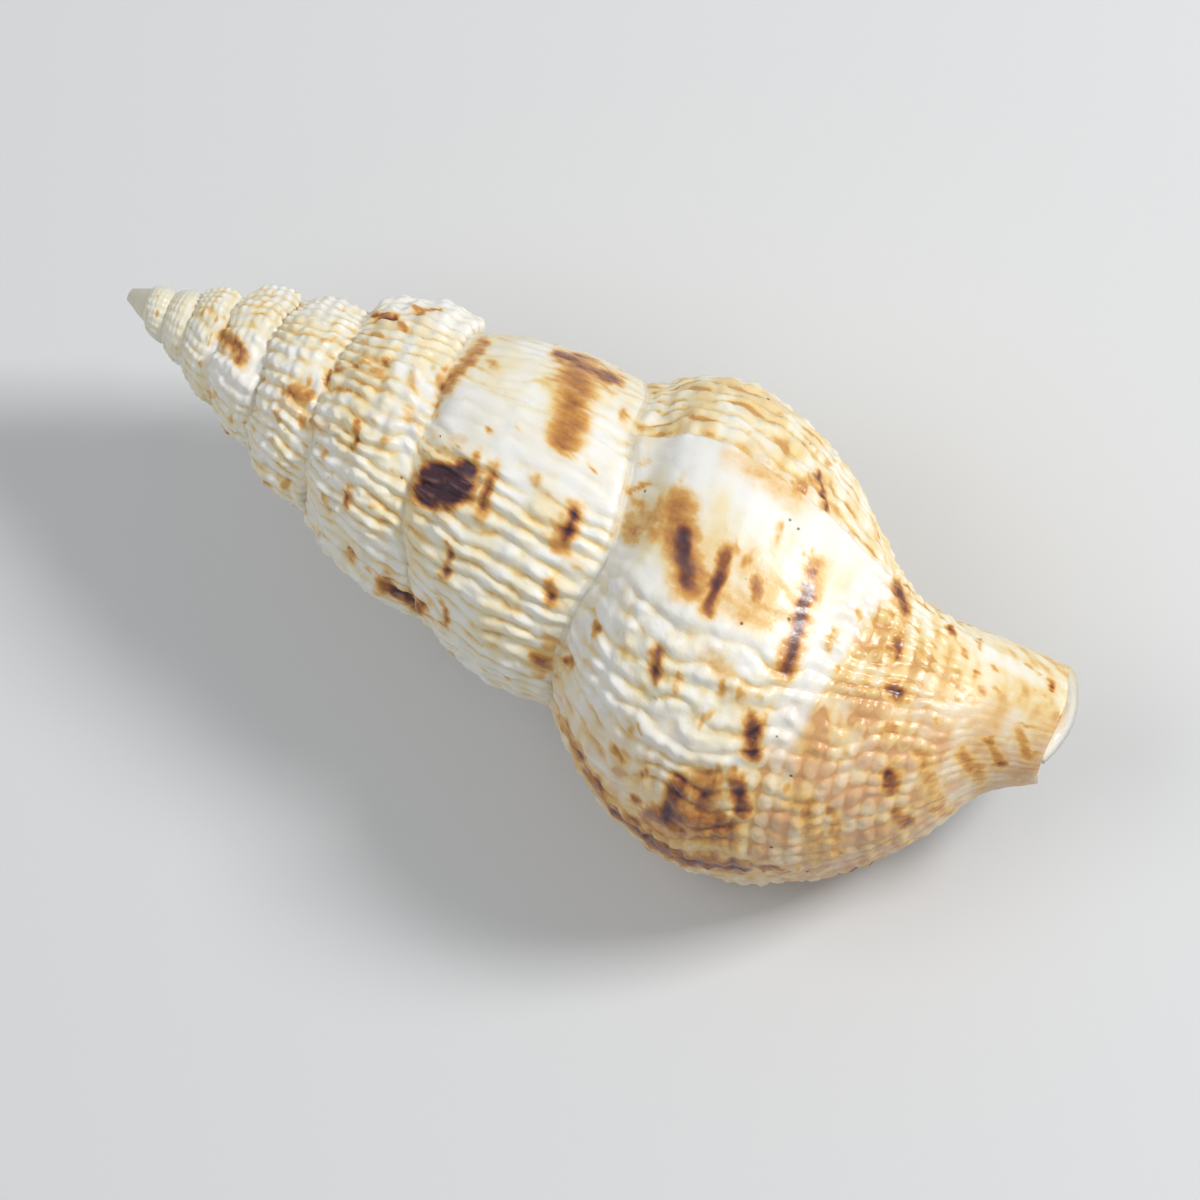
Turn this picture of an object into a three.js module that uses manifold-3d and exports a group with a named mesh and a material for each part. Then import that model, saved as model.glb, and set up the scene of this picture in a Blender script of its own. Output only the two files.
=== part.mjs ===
// A dextral, high-spired sea snail shell: ten whorls wound about one axis, a swollen last
// whorl, a tooth-edged mouth and a short siphonal canal bent back towards the outer side.
// It lies mouth down with its tip towards -X. Millimetres, +Z up, table at z = 0.
import * as THREE from "three";
import { LoftGeometry } from "three/addons/geometries/LoftGeometry.js";
import { mergeVertices } from "three/addons/utils/BufferGeometryUtils.js";
import Module from "manifold-3d";

// Growth is counted in turns about the shell's axis. Turn 0 is the middle of the outer side
// of the last whorl, and the edge of the mouth is where growth stopped.
const LIP_TURN = 0.35;
const FIRST_TURN = -7.65;

// The seam between whorls: turn, distance from the tip along the axis, distance from it.
const SEAM = [
  [-7.65, 0.8, 0.8],
  [-6.65, 2.5, 1.4],
  [-6, 3.7, 1.7],
  [-5, 5.7, 2.5],
  [-4, 8.6, 3.7],
  [-3, 12.6, 5.0],
  [-2, 17.9, 6.9],
  [-1.5, 21.5, 8.0],
  [-1, 26.4, 9.4],
  [-0.75, 29.9, 10.0],
  [-0.5, 32.9, 10.5],
  [-0.25, 35.9, 10.9],
  [-0.12, 39.2, 11.2],
  [0, 41.9, 11.2],
  [LIP_TURN, 40.0, 11.4],
];
const TIP = 0.15;

// How far a spire whorl swells over the straight line between its seams, and the shape of it.
const SWELL = [
  [-6, 0.3],
  [-4, 0.6],
  [-3, 0.8],
  [-2, 1.0],
  [-1.5, 1.1],
  [-1.25, 0.8],
  [-1, 1.3],
  [-0.65, 1.2],
];
const SWELL_ACROSS = [
  [0, 0],
  [0.1, 0.5],
  [0.33, 0.98],
  [0.68, 0.92],
  [1, 0],
];

// Outlines of the last whorl at five places round it, each from its upper seam over the
// shoulder and down the base to the end of the canal: distance along the axis, radius.
const SHOULDER_POINTS = 5;
const LAST_WHORL = [
  [-0.5, [34.0, 11.2], [36.0, 12.4], [38.8, 12.8], [41.8, 12.5], [45.2, 11.4], [48.6, 9.7],
    [52.4, 7.5], [56.4, 5.6], [61.2, 4.5], [66.6, 3.9], [73.3, 3.5]],
  [-0.25, [37.3, 11.7], [39.3, 13.3], [42.2, 14.2], [45.2, 14.1], [48.6, 13.2], [52.4, 11.4],
    [55.8, 8.6], [58.8, 6.2], [62.6, 4.8], [67.3, 4.4], [72.1, 4.0]],
  [0, [43.0, 12.1], [44.9, 13.8], [47.9, 14.8], [50.7, 15.0], [53.7, 14.4], [56.8, 13.1],
    [59.8, 11.2], [63.2, 8.8], [66.3, 7.1], [69.8, 5.2], [74.2, 4.0]],
  [0.25, [41.3, 12.1], [43.5, 13.9], [46.9, 15.8], [51.0, 16.9], [55.1, 16.9], [59.2, 15.8],
    [62.9, 14.2], [66.3, 11.8], [68.5, 9.3], [70.4, 6.2], [73.8, 4.2]],
  [LIP_TURN, [40.7, 12.4], [42.5, 14.0], [46.2, 16.1], [50.7, 17.0], [55.1, 16.7], [59.2, 15.5],
    [62.9, 13.6], [66.0, 10.9], [68.0, 8.4], [70.0, 6.2], [73.0, 4.9]],
];
// The base as it runs on under the mouth, one turn before the lip.
const INNER_WALL = [
  [43.5, 10.3], [47.1, 8.6], [50.7, 6.7], [54.7, 5.0], [59.8, 4.1], [66.0, 3.5], [73.1, 3.3],
];

// The axis of the canal bends up and towards the outer side: station, across, up.
const BEND = [
  [0, 0, 0],
  [52, 0, 0],
  [56, 0.3, 0],
  [60, 0.9, 0.2],
  [64, 1.8, 0.7],
  [68, 2.6, 1.4],
  [72, 3.2, 2.3],
  [76, 3.7, 3.2],
];

// Relief: riblets along the axis, which a smooth callus covers beside the mouth, and the
// old lips that stand up as varices.
const RIB_HEIGHT = 0.42;
const RIB_GROWING_TURNS = 5;
const RIB_LEAST_SHARE = 0.15;
const RIB_FADE_START = 56;
const RIB_FADE_END = 66;
const CALLUS_END = -0.4;
const CALLUS_FADE = 0.07;
const VARICES = [
  [-5.2, 0.3], [-4.7, 0.3], [-4.27, 0.65], [-3.97, 0.6], [-3.4, 0.45], [-2.83, 0.5],
  [-2.26, 0.85], [-1.8, 0.55], [-1.34, 0.5], [-1.08, 0.7], [-0.6, 0.6], [-0.11, 0.65],
];
const VARIX_RISE = 0.008;
const VARIX_FALL = 0.1;
const LIP_VARIX_TURN = 0.31;
const LIP_VARIX_HEIGHT = 0.9;
const LIP_VARIX_WIDTH = 0.035;
const VARIX_FADE_START = 62;
const VARIX_FADE_END = 70;
const VARIX_AT_SEAM = 0.35;

// The hollow behind the mouth, outlined in the plane of the lip: station, radius.
const MOUTH = [
  [43.6, 12.5], [45.6, 14.0], [48.8, 15.2], [52.4, 15.4], [56.1, 14.8], [59.8, 13.4],
  [63.2, 11.2], [65.8, 8.8], [67.2, 6.4], [66.8, 4.8], [63.2, 4.7], [59.5, 5.4],
  [55.5, 6.3], [51.3, 7.9], [47.6, 9.8], [44.6, 11.4],
];
const MOUTH_CENTRE = [55.0, 10.2];
// Each inner section of the hollow: turn, scale about the centre, and how far the centre
// moves in towards the axis and up it.
const HOLLOW = [
  [LIP_TURN + 0.04, 1.0, 0, 0],
  [LIP_TURN - 0.02, 1.0, 0, 0],
  [0.25, 0.93, 0.1, 0],
  [0.14, 0.83, 0.8, 0.2],
  [0.03, 0.7, 1.6, 0.6],
  [-0.08, 0.5, 2.3, 1.4],
  [-0.16, 0.28, 2.9, 2.2],
];

// The canal is a trough open on the mouth's side.
// Below: station, and the distance of the trough's middle from the axis.
const TROUGH = [
  [62.5, 5.6],
  [66, 4.9],
  [70, 4.4],
  [77, 4.2],
];
const TROUGH_STEP = 1.45;
const TROUGH_HALF_WIDTH = 0.85;
const TROUGH_OPENING = 5;
const TROUGH_WALL = 1.0;
const TROUGH_FLOOR = 1.8;
const TROUGH_FLOOR_HALF_WIDTH = 0.51;

// The canal's open end widens to a thin rim: station, share of the skin's radius.
const CANAL_BORE = [
  [67.5, 0.2],
  [70, 0.5],
  [72.5, 0.74],
  [77, 0.88],
];
const BORE_POINTS = 20;
const BORE_MARGIN = 0.02;
const CANAL_CAP = 72;

// Teeth inside the lip, counted from the top of the mouth.
const TOOTH_STATIONS = [47.5, 50.3, 53.1, 55.9, 58.7, 61.4];
const TOOTH_SIZE = [0.55, 1.5, 0.6];
const TOOTH_INSET = 1.2;
const TOOTH_FACETS = [8, 6];
const LIP_SIDE_POINTS = 8;

// How the shell lies: turned about its axis, then tipped canal down, in degrees. The tip
// comes to this place, which sinks the lowest parts 0.45 mm into the table.
const LIE_ROLL = 5;
const LIE_PITCH = 6;
const TIP_PLACE = [-37.3, 1.4, 16.7];
const TABLE_SIZE = 200;

// Mesh density. Ribs take two columns each, and the small whorls fewer columns.
const TURN_COLUMNS = 96;
const ROWS = 6;
const BASE_ROWS = 13;
const BASE_FINE_ROWS = 5;
const QUARTER_DENSITY_BEFORE = -5.65;
const HALF_DENSITY_BEFORE = -3.65;
const MOST_ROWS = 100;
const TURN_SLACK = 1e-6;
const WELD_DISTANCE = 1e-4;

// Values between listed places follow a smooth curve that never overshoots.
function slopes(rows, k) {
  const steps = rows.slice(1).map((row, i) => (row[k] - rows[i][k]) / (row[0] - rows[i][0]));
  return rows.map((row, i) => {
    if (i === 0) return steps[0];
    if (i === rows.length - 1) return steps[i - 1];
    const [before, after] = [steps[i - 1], steps[i]];
    return before * after > 0 ? (2 * before * after) / (before + after) : 0;
  });
}

function between(rows, k, at) {
  const clamped = THREE.MathUtils.clamp(at, rows[0][0], rows[rows.length - 1][0]);
  let i = 0;
  while (i < rows.length - 2 && rows[i + 1][0] < clamped) i++;
  const width = rows[i + 1][0] - rows[i][0];
  const t = (clamped - rows[i][0]) / width;
  const slope = slopes(rows, k);
  const rise = t * t * (3 - 2 * t);
  return (
    rows[i][k] * (1 - rise) +
    rows[i + 1][k] * rise +
    width * t * (1 - t) * ((1 - t) * slope[i] - t * slope[i + 1])
  );
}

// A turn, a station on the axis and a radius give a place in the shell's own frame.
function place(turn, station, radius) {
  const angle = 2 * Math.PI * turn;
  return new THREE.Vector3(
    station,
    between(BEND, 1, station) - radius * Math.sin(angle),
    between(BEND, 2, station) + radius * Math.cos(angle),
  );
}

function seamAt(turn) {
  return new THREE.Vector2(between(SEAM, 1, turn), between(SEAM, 2, turn));
}

function spireOutline(turn) {
  const top = seamAt(turn);
  const bottom = seamAt(turn + 1);
  const along = bottom.clone().sub(top);
  const out = new THREE.Vector2(-along.y, along.x).normalize();
  const swell = between(SWELL, 1, turn);
  return SWELL_ACROSS.map(([share, lift]) =>
    top.clone().addScaledVector(along, share).addScaledVector(out, lift * swell),
  );
}

const lastWhorlRows = [
  [LIP_TURN - 1, ...spireOutline(LIP_TURN - 1).slice(1).map((p) => [p.x, p.y]), ...INNER_WALL],
  ...LAST_WHORL,
];

function lastWhorlOutline(turn) {
  const outline = [seamAt(turn)];
  for (let k = 1; k < lastWhorlRows[0].length; k++) {
    const station = lastWhorlRows.map((row) => [row[0], row[k][0]]);
    const radius = lastWhorlRows.map((row) => [row[0], row[k][1]]);
    outline.push(new THREE.Vector2(between(station, 1, turn), between(radius, 1, turn)));
  }
  return outline;
}

// Points evenly spaced along an outline, or along the part of it up to or past the shoulder.
function spaced(points, count) {
  return new THREE.SplineCurve(points).getSpacedPoints(count);
}

function ribHeight(turn, station) {
  const fade = 1 - THREE.MathUtils.smoothstep(station, RIB_FADE_START, RIB_FADE_END);
  const grown = (turn - FIRST_TURN) / RIB_GROWING_TURNS;
  const small = THREE.MathUtils.clamp(grown, RIB_LEAST_SHARE, 1);
  const onLastWhorl = turn >= LIP_TURN - 1 - TURN_SLACK;
  const callus = THREE.MathUtils.smoothstep(turn, CALLUS_END - CALLUS_FADE, CALLUS_END);
  return RIB_HEIGHT * fade * small * (onLastWhorl ? callus : 1);
}

function varixLift(turn) {
  const old = VARICES.reduce((lift, [start, height]) => {
    const past = turn - start;
    const rise = THREE.MathUtils.smoothstep(past, -VARIX_RISE, 0);
    const fall = 1 - THREE.MathUtils.smoothstep(past, 0, VARIX_FALL);
    return Math.max(lift, height * rise * fall);
  }, 0);
  const last = Math.exp(-(((turn - LIP_VARIX_TURN) / LIP_VARIX_WIDTH) ** 2));
  return old + LIP_VARIX_HEIGHT * last;
}

// The outer skin is one ribbon wound on itself: the bottom edge of a turn is the top edge
// of the next, so those vertices are shared. Columns are counted from the first turn.
const LIP_COLUMN = Math.round((LIP_TURN - FIRST_TURN) * TURN_COLUMNS);
const LAST_WHORL_COLUMN = LIP_COLUMN - TURN_COLUMNS;
const turnOf = (column) => FIRST_TURN + column / TURN_COLUMNS;

function columnStep(column) {
  if (turnOf(column) < QUARTER_DENSITY_BEFORE - TURN_SLACK) return 4;
  return turnOf(column) < HALF_DENSITY_BEFORE - TURN_SLACK ? 2 : 1;
}

const outlineCache = new Map();
function outlineOf(column) {
  if (!outlineCache.has(column)) {
    const turn = turnOf(column);
    if (column < LAST_WHORL_COLUMN) {
      outlineCache.set(column, spaced(spireOutline(turn), ROWS));
    } else {
      const points = lastWhorlOutline(turn);
      const upper = spaced(points.slice(0, SHOULDER_POINTS), ROWS);
      const lower = spaced(points.slice(SHOULDER_POINTS - 1), BASE_ROWS);
      outlineCache.set(column, [...upper, ...lower.slice(1)]);
    }
  }
  return outlineCache.get(column);
}

const vertices = [];
const vertexOf = new Map();
function vertex(column, row) {
  const wraps = row === ROWS && column <= LAST_WHORL_COLUMN;
  const [c, r] = wraps ? [column + TURN_COLUMNS, 0] : [column, row];
  const key = c * MOST_ROWS + r;
  if (!vertexOf.has(key)) {
    const { x: station, y: radius } = outlineOf(c)[r];
    const turn = turnOf(c);
    const joined = r === 0 || (c >= LAST_WHORL_COLUMN && r > ROWS + BASE_ROWS - 2);
    const onCrest = (c / columnStep(c)) % 2 === 0;
    const lift = joined ? 0 : ((onCrest ? 1 : -1) * ribHeight(turn, station)) / 2;
    const seamFade = r === 0 ? VARIX_AT_SEAM : 1;
    const fade = 1 - THREE.MathUtils.smoothstep(station, VARIX_FADE_START, VARIX_FADE_END);
    const raised = radius + lift + varixLift(turn) * fade * seamFade;
    vertexOf.set(key, vertices.push(place(turn, station, raised)) - 1);
  }
  return vertexOf.get(key);
}

function addPoint(point) {
  return vertices.push(point) - 1;
}

const faces = [];
// A quad whose upper and lower edges may hold extra points, split into triangles.
function addStrip(upper, lower) {
  let [i, j] = [0, 0];
  while (i < upper.length - 1 || j < lower.length - 1) {
    const nextUpper = (i + 1) / (upper.length - 1);
    const nextLower = (j + 1) / (lower.length - 1);
    const stepUpper = j === lower.length - 1 || (i < upper.length - 1 && nextUpper < nextLower);
    if (stepUpper) {
      faces.push([upper[i], upper[i + 1], lower[j]]);
      i++;
    } else {
      faces.push([upper[i], lower[j + 1], lower[j]]);
      j++;
    }
  }
}

function rowPoints(column, end, step, row) {
  const points = [];
  for (let c = column; c <= end; c += step) points.push(vertex(c, row));
  return points;
}

function addSkin() {
  for (let column = 0; column < LIP_COLUMN; column += columnStep(column)) {
    const step = columnStep(column);
    const end = column + step;
    for (let row = 0; row < ROWS; row++) {
      const meetsNextTurn = row === ROWS - 1 && column < LAST_WHORL_COLUMN;
      const lowerStep = meetsNextTurn ? Math.min(step, columnStep(column + TURN_COLUMNS)) : step;
      addStrip(rowPoints(column, end, step, row), rowPoints(column, end, lowerStep, row + 1));
    }
  }
}

function addBase() {
  for (let row = ROWS; row < ROWS + BASE_ROWS; row++) {
    const upperStep = row < ROWS + BASE_FINE_ROWS ? 1 : 2;
    const lowerStep = row + 1 < ROWS + BASE_FINE_ROWS ? 1 : 2;
    for (let column = LAST_WHORL_COLUMN; column < LIP_COLUMN; column += 2) {
      const end = column + 2;
      addStrip(rowPoints(column, end, upperStep, row), rowPoints(column, end, lowerStep, row + 1));
    }
  }
}

// A fan closes a loop of vertices to one point.
function addFan(loop, point) {
  const centre = addPoint(point);
  loop.forEach((v, i) => {
    const next = loop[(i + 1) % loop.length];
    if (v !== next) faces.push([v, next, centre]);
  });
}

function addEnds() {
  const lastRow = ROWS + BASE_ROWS;
  const topEdge = rowPoints(0, TURN_COLUMNS, columnStep(0), 0).reverse();
  const firstColumn = [];
  for (let row = 1; row < ROWS; row++) firstColumn.push(vertex(0, row));
  addFan([...topEdge, ...firstColumn], new THREE.Vector3(TIP, 0, 0));

  const endEdge = rowPoints(LAST_WHORL_COLUMN, LIP_COLUMN, 2, lastRow);
  addFan(endEdge, place(0, CANAL_CAP, 0));

  const inner = [];
  const outer = [];
  for (let row = ROWS; row <= lastRow; row++) inner.push(vertex(LAST_WHORL_COLUMN, row));
  for (let row = 0; row <= lastRow; row++) outer.push(vertex(LIP_COLUMN, row));
  addStrip(inner, outer);
}

function skinGeometry() {
  addSkin();
  addBase();
  addEnds();
  const geometry = new THREE.BufferGeometry().setFromPoints(vertices);
  geometry.setIndex(faces.filter(([a, b, c]) => a !== b && b !== c && c !== a).flat());
  return geometry;
}

function hollowGeometry() {
  const sections = HOLLOW.map(([turn, scale, retreat, climb]) =>
    MOUTH.map(([station, radius]) =>
      place(
        turn,
        MOUTH_CENTRE[0] - climb + (station - MOUTH_CENTRE[0]) * scale,
        MOUTH_CENTRE[1] - retreat + (radius - MOUTH_CENTRE[1]) * scale,
      ),
    ),
  );
  return new LoftGeometry(sections, { closed: true, capStart: true, capEnd: true });
}

// Directions in the plane across the canal: away from the axis, and out of the mouth.
const lipAngle = 2 * Math.PI * LIP_TURN;
const AWAY = new THREE.Vector3(0, -Math.sin(lipAngle), Math.cos(lipAngle));
const OUT = new THREE.Vector3(0, -Math.cos(lipAngle), -Math.sin(lipAngle));

function troughGeometry() {
  const outline = [
    [-TROUGH_HALF_WIDTH, TROUGH_OPENING],
    [-TROUGH_HALF_WIDTH, -TROUGH_WALL],
    [-TROUGH_FLOOR_HALF_WIDTH, -TROUGH_FLOOR],
    [TROUGH_FLOOR_HALF_WIDTH, -TROUGH_FLOOR],
    [TROUGH_HALF_WIDTH, -TROUGH_WALL],
    [TROUGH_HALF_WIDTH, TROUGH_OPENING],
  ];
  const sections = [];
  for (let station = TROUGH[0][0]; station <= TROUGH.at(-1)[0]; station += TROUGH_STEP) {
    const centre = place(LIP_TURN, station, between(TROUGH, 1, station));
    const section = outline.map(([away, out]) =>
      centre.clone().addScaledVector(AWAY, away).addScaledVector(OUT, out),
    );
    sections.push(section);
  }
  return new LoftGeometry(sections, { closed: true, capStart: true, capEnd: true });
}

function boreGeometry() {
  const firstTurn = LIP_TURN - 1 + BORE_MARGIN;
  const turnStep = (1 - 2 * BORE_MARGIN) / (BORE_POINTS - 1);
  const turns = Array.from({ length: BORE_POINTS }, (_, i) => firstTurn + i * turnStep);
  const rims = turns.map((turn) => lastWhorlOutline(turn).at(-1).y);
  const sections = CANAL_BORE.map(([station, share]) =>
    turns.map((turn, i) => place(turn, station, rims[i] * share)),
  );
  return new LoftGeometry(sections, { closed: true, capStart: true, capEnd: true });
}

// A tooth is a low ridge on the inside of the lip, running back into the mouth.
function toothGeometry(station) {
  const rows = MOUTH.slice(0, LIP_SIDE_POINTS);
  const radius = between(rows, 1, station);
  const centre = place(LIP_TURN, station, radius).addScaledVector(OUT, -TOOTH_INSET);
  return new THREE.SphereGeometry(1, ...TOOTH_FACETS)
    .scale(...TOOTH_SIZE)
    .rotateX(lipAngle)
    .translate(centre.x, centre.y, centre.z);
}

const wasm = await Module();
wasm.setup();

function solidOf(geometry) {
  const bare = new THREE.BufferGeometry().setIndex(geometry.index);
  bare.setAttribute("position", geometry.attributes.position);
  const merged = mergeVertices(bare, WELD_DISTANCE);
  const mesh = new wasm.Mesh({
    numProp: 3,
    vertProperties: merged.attributes.position.array,
    triVerts: new Uint32Array(merged.index.array),
  });
  const solid = new wasm.Manifold(mesh);
  if (solid.volume() > 0) return solid;
  mesh.triVerts.reverse();
  return new wasm.Manifold(mesh);
}

function geometryOf(solid) {
  const mesh = solid.getMesh();
  const positions = new Float32Array(mesh.numVert * 3);
  for (let i = 0; i < mesh.numVert; i++) {
    positions.set(mesh.vertProperties.subarray(i * mesh.numProp, i * mesh.numProp + 3), i * 3);
  }
  const geometry = new THREE.BufferGeometry();
  geometry.setAttribute("position", new THREE.BufferAttribute(positions, 3));
  geometry.setIndex(new THREE.BufferAttribute(mesh.triVerts, 1));
  geometry.computeVertexNormals();
  return geometry;
}

// The table takes a thin slice off what touches it, which leaves small flats to rest on.
function tableGeometry() {
  return new THREE.BoxGeometry(TABLE_SIZE, TABLE_SIZE, TABLE_SIZE).translate(0, 0, -TABLE_SIZE / 2);
}

function shellGeometry() {
  let solid = solidOf(skinGeometry());
  for (const cut of [hollowGeometry(), troughGeometry(), boreGeometry()]) {
    solid = solid.subtract(solidOf(cut));
  }
  for (const station of TOOTH_STATIONS) solid = solid.add(solidOf(toothGeometry(station)));
  const [roll, pitch] = [LIE_ROLL, LIE_PITCH].map(THREE.MathUtils.degToRad);
  const lie = new THREE.Matrix4()
    .makeRotationFromEuler(new THREE.Euler(roll, pitch, 0, "YXZ"))
    .setPosition(...TIP_PLACE);
  const lying = geometryOf(solid).applyMatrix4(lie);
  return geometryOf(solidOf(lying).subtract(solidOf(tableGeometry())));
}

const shell = new THREE.Mesh(
  shellGeometry(),
  new THREE.MeshStandardMaterial({ color: 0xe9dcc0, roughness: 0.35, metalness: 0 }),
);
shell.name = "shell";

const part = new THREE.Group();
part.add(shell);

export default part;
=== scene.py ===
import math

import bmesh
import bpy
import numpy as np
from mathutils import Matrix, Vector, noise


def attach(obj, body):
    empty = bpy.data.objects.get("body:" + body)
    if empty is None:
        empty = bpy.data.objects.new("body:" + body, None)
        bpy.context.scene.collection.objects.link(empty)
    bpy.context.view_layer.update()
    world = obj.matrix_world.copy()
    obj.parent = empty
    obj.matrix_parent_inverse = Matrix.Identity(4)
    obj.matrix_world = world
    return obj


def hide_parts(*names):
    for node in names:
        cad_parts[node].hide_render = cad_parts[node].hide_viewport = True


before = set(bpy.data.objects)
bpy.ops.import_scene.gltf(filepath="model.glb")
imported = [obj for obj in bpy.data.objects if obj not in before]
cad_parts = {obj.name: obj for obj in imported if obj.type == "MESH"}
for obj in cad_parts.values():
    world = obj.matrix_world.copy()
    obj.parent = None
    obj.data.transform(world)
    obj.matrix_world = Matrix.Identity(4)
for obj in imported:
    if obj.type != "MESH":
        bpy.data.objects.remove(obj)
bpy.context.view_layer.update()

MM = 0.001

# Growth is counted in turns about the shell's axis. Turn 0 is the middle of the outer side
# of the last whorl. A station is a distance from the tip along the axis. Sizes are in
# millimetres, as in the solid, except where a comment gives another unit.
LIP_TURN = 0.35
FIRST_TURN = -7.65
BODY_START = LIP_TURN - 1
TURN_SLACK = 1e-6

# The seam between whorls: turn, station, distance from the axis.
SEAM = [
    (-7.65, 0.8, 0.8), (-6.65, 2.5, 1.4), (-6, 3.7, 1.7), (-5, 5.7, 2.5), (-4, 8.6, 3.7),
    (-3, 12.6, 5.0), (-2, 17.9, 6.9), (-1.5, 21.5, 8.0), (-1, 26.4, 9.4), (-0.75, 29.9, 10.0),
    (-0.5, 32.9, 10.5), (-0.25, 35.9, 10.9), (-0.12, 39.2, 11.2), (0, 41.9, 11.2),
    (LIP_TURN, 40.0, 11.4),
]
# The seam wanders by waves: share, waves a turn, start. Four turns say where it does so.
SEAM_WANDER = 0.28
SEAM_WAVES = [(0.6, 4.7, 1.1), (0.4, 10.3, 0.4)]
SEAM_WANDERS = (-5.5, -3.5, 0.1, LIP_TURN)
# The end of the tip, and a ring that rounds it over: station, radius.
TIP = 0.15
TIP_RING = (0.3, 0.45)
# How far a spire whorl swells over the straight line between its seams, and the shape of it.
SWELL = [
    (-6, 0.3), (-4, 0.6), (-3, 0.8), (-2, 1.0), (-1.5, 1.1), (-1.25, 0.8), (-1, 1.3),
    (-0.65, 1.2),
]
SWELL_ACROSS = [(0, 0), (0.1, 0.5), (0.33, 0.98), (0.68, 0.92), (1, 0)]

# Outlines of the last whorl round it, by turn, each as stations and radii from the upper
# seam to the end of the canal. The inner wall is the base as it runs on under the mouth.
SHOULDER_POINTS = 5
LAST_WHORL = {
    -0.5: [(34.0, 11.2), (36.0, 12.4), (38.8, 12.8), (41.8, 12.5), (45.2, 11.4), (48.6, 9.7),
           (52.4, 7.5), (56.4, 5.6), (61.2, 4.5), (66.6, 3.9), (73.3, 3.5)],
    -0.25: [(37.3, 11.7), (39.3, 13.3), (42.2, 14.2), (45.2, 14.1), (48.6, 13.2), (52.4, 11.4),
            (55.8, 8.6), (58.8, 6.2), (62.6, 4.8), (67.3, 4.4), (72.1, 4.0)],
    0: [(43.0, 12.1), (44.9, 13.8), (47.9, 14.8), (50.7, 15.0), (53.7, 14.4), (56.8, 13.1),
        (59.8, 11.2), (63.2, 8.8), (66.3, 7.1), (69.8, 5.2), (74.2, 4.0)],
    0.25: [(41.3, 12.1), (43.5, 13.9), (46.9, 15.8), (51.0, 16.9), (55.1, 16.9), (59.2, 15.8),
           (62.9, 14.2), (66.3, 11.8), (68.5, 9.3), (70.4, 6.2), (73.8, 4.2)],
    LIP_TURN: [(40.7, 12.4), (42.5, 14.0), (46.2, 16.1), (50.7, 17.0), (55.1, 16.7),
               (59.2, 15.5), (62.9, 13.6), (66.0, 10.9), (68.0, 8.4), (70.0, 6.2), (73.0, 4.9)],
}
INNER_WALL = [(43.5, 10.3), (47.1, 8.6), (50.7, 6.7), (54.7, 5.0), (59.8, 4.1), (66.0, 3.5),
              (73.1, 3.3)]
# How the axis bends towards the end of the canal: station, across, up.
BEND = [(0, 0, 0), (52, 0, 0), (56, 0.3, 0), (60, 0.9, 0.2), (64, 1.8, 0.7), (68, 2.6, 1.4),
        (72, 3.2, 2.3), (76, 3.7, 3.2)]

# Old lips that stand up as varices (turn, height), and the thick lip of the mouth.
VARICES = [
    (-5.2, 0.3), (-4.7, 0.3), (-4.27, 0.65), (-3.97, 0.6), (-3.4, 0.45), (-2.83, 0.5),
    (-2.26, 0.85), (-1.8, 0.55), (-1.34, 0.5), (-1.08, 0.7), (-0.6, 0.6), (-0.11, 0.65),
]
VARIX_RISE = 0.006
VARIX_FALL = 0.1
VARICES_END = (62, 70)
VARIX_AT_SEAM = 0.35
LIP_VARIX_TURN = 0.31
LIP_VARIX_HEIGHT = 0.9
LIP_VARIX_WIDTH = 0.035

# The outline of the mouth, as stations and radii. Its first points are the outer lip.
MOUTH = [
    (43.6, 12.5), (45.6, 14.0), (48.8, 15.2), (52.4, 15.4), (56.1, 14.8), (59.8, 13.4),
    (63.2, 11.2), (65.8, 8.8), (67.2, 6.4), (66.8, 4.8), (63.2, 4.7), (59.5, 5.4),
    (55.5, 6.3), (51.3, 7.9), (47.6, 9.8), (44.6, 11.4),
]
MOUTH_OUTER_POINTS = 8
MOUTH_CENTRE = (55.0, 10.2)
# Sections of the hollow: turn, scale about the centre, and how far the centre moves in
# towards the axis and back towards the tip.
HOLLOW = [
    (LIP_TURN + 0.04, 1.0, 0, 0), (LIP_TURN - 0.02, 1.0, 0, 0), (0.25, 0.93, 0.1, 0),
    (0.14, 0.83, 0.8, 0.2), (0.03, 0.7, 1.6, 0.6), (-0.08, 0.5, 2.3, 1.4),
    (-0.16, 0.28, 2.9, 2.2),
]
# The trough of the canal: the station and radius of its middle. Its walls are flat, its floor
# is round, and the cut goes on outwards by the opening.
TROUGH = [(62.5, 5.6), (66, 4.9), (70, 4.4), (77, 4.2)]
TROUGH_HALF_WIDTH = 0.85
TROUGH_WALL = 0.6
TROUGH_FLOOR = 1.2
TROUGH_OPENING = 5
TROUGH_STEP = 0.7
TROUGH_FLOOR_POINTS = 9
# The open end of the canal: station, share of the rim's radius.
CANAL_BORE = [(67.5, 0.2), (70, 0.5), (72.5, 0.74), (77, 0.88)]
BORE_MARGIN = 0.02
CANAL_CAP = 72
# Teeth of the outer lip: where they are, their size, and how far in they sit.
TOOTH_STATIONS = [47.5, 50.3, 53.1, 55.9, 58.7, 61.4]
TOOTH_SIZE = (0.55, 1.5, 0.6)
TOOTH_INSET = 1.2

# How the shell lies on the table, and where its tip is then.
LIE_ROLL = math.radians(5)
LIE_PITCH = math.radians(6)
TIP_PLACE = (-37.3, 1.4, 16.7)
# The size in metres of the block that stands for the table.
TABLE = 0.2

# Mesh density: columns in a turn, rows from seam to seam, and rows from there down the base.
TURN_COLUMNS = 360
ROWS = 30
BASE_ROWS = 88
QUARTER_DENSITY_BEFORE = -5.65
HALF_DENSITY_BEFORE = -3.65
CURVE_STEPS = 16
RING_STEPS = 12
MOUTH_COLUMNS = 72
HOLLOW_ROWS = 40
BORE_COLUMNS = 60
BORE_ROWS = 14
TOOTH_FACETS = (20, 12)

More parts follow.
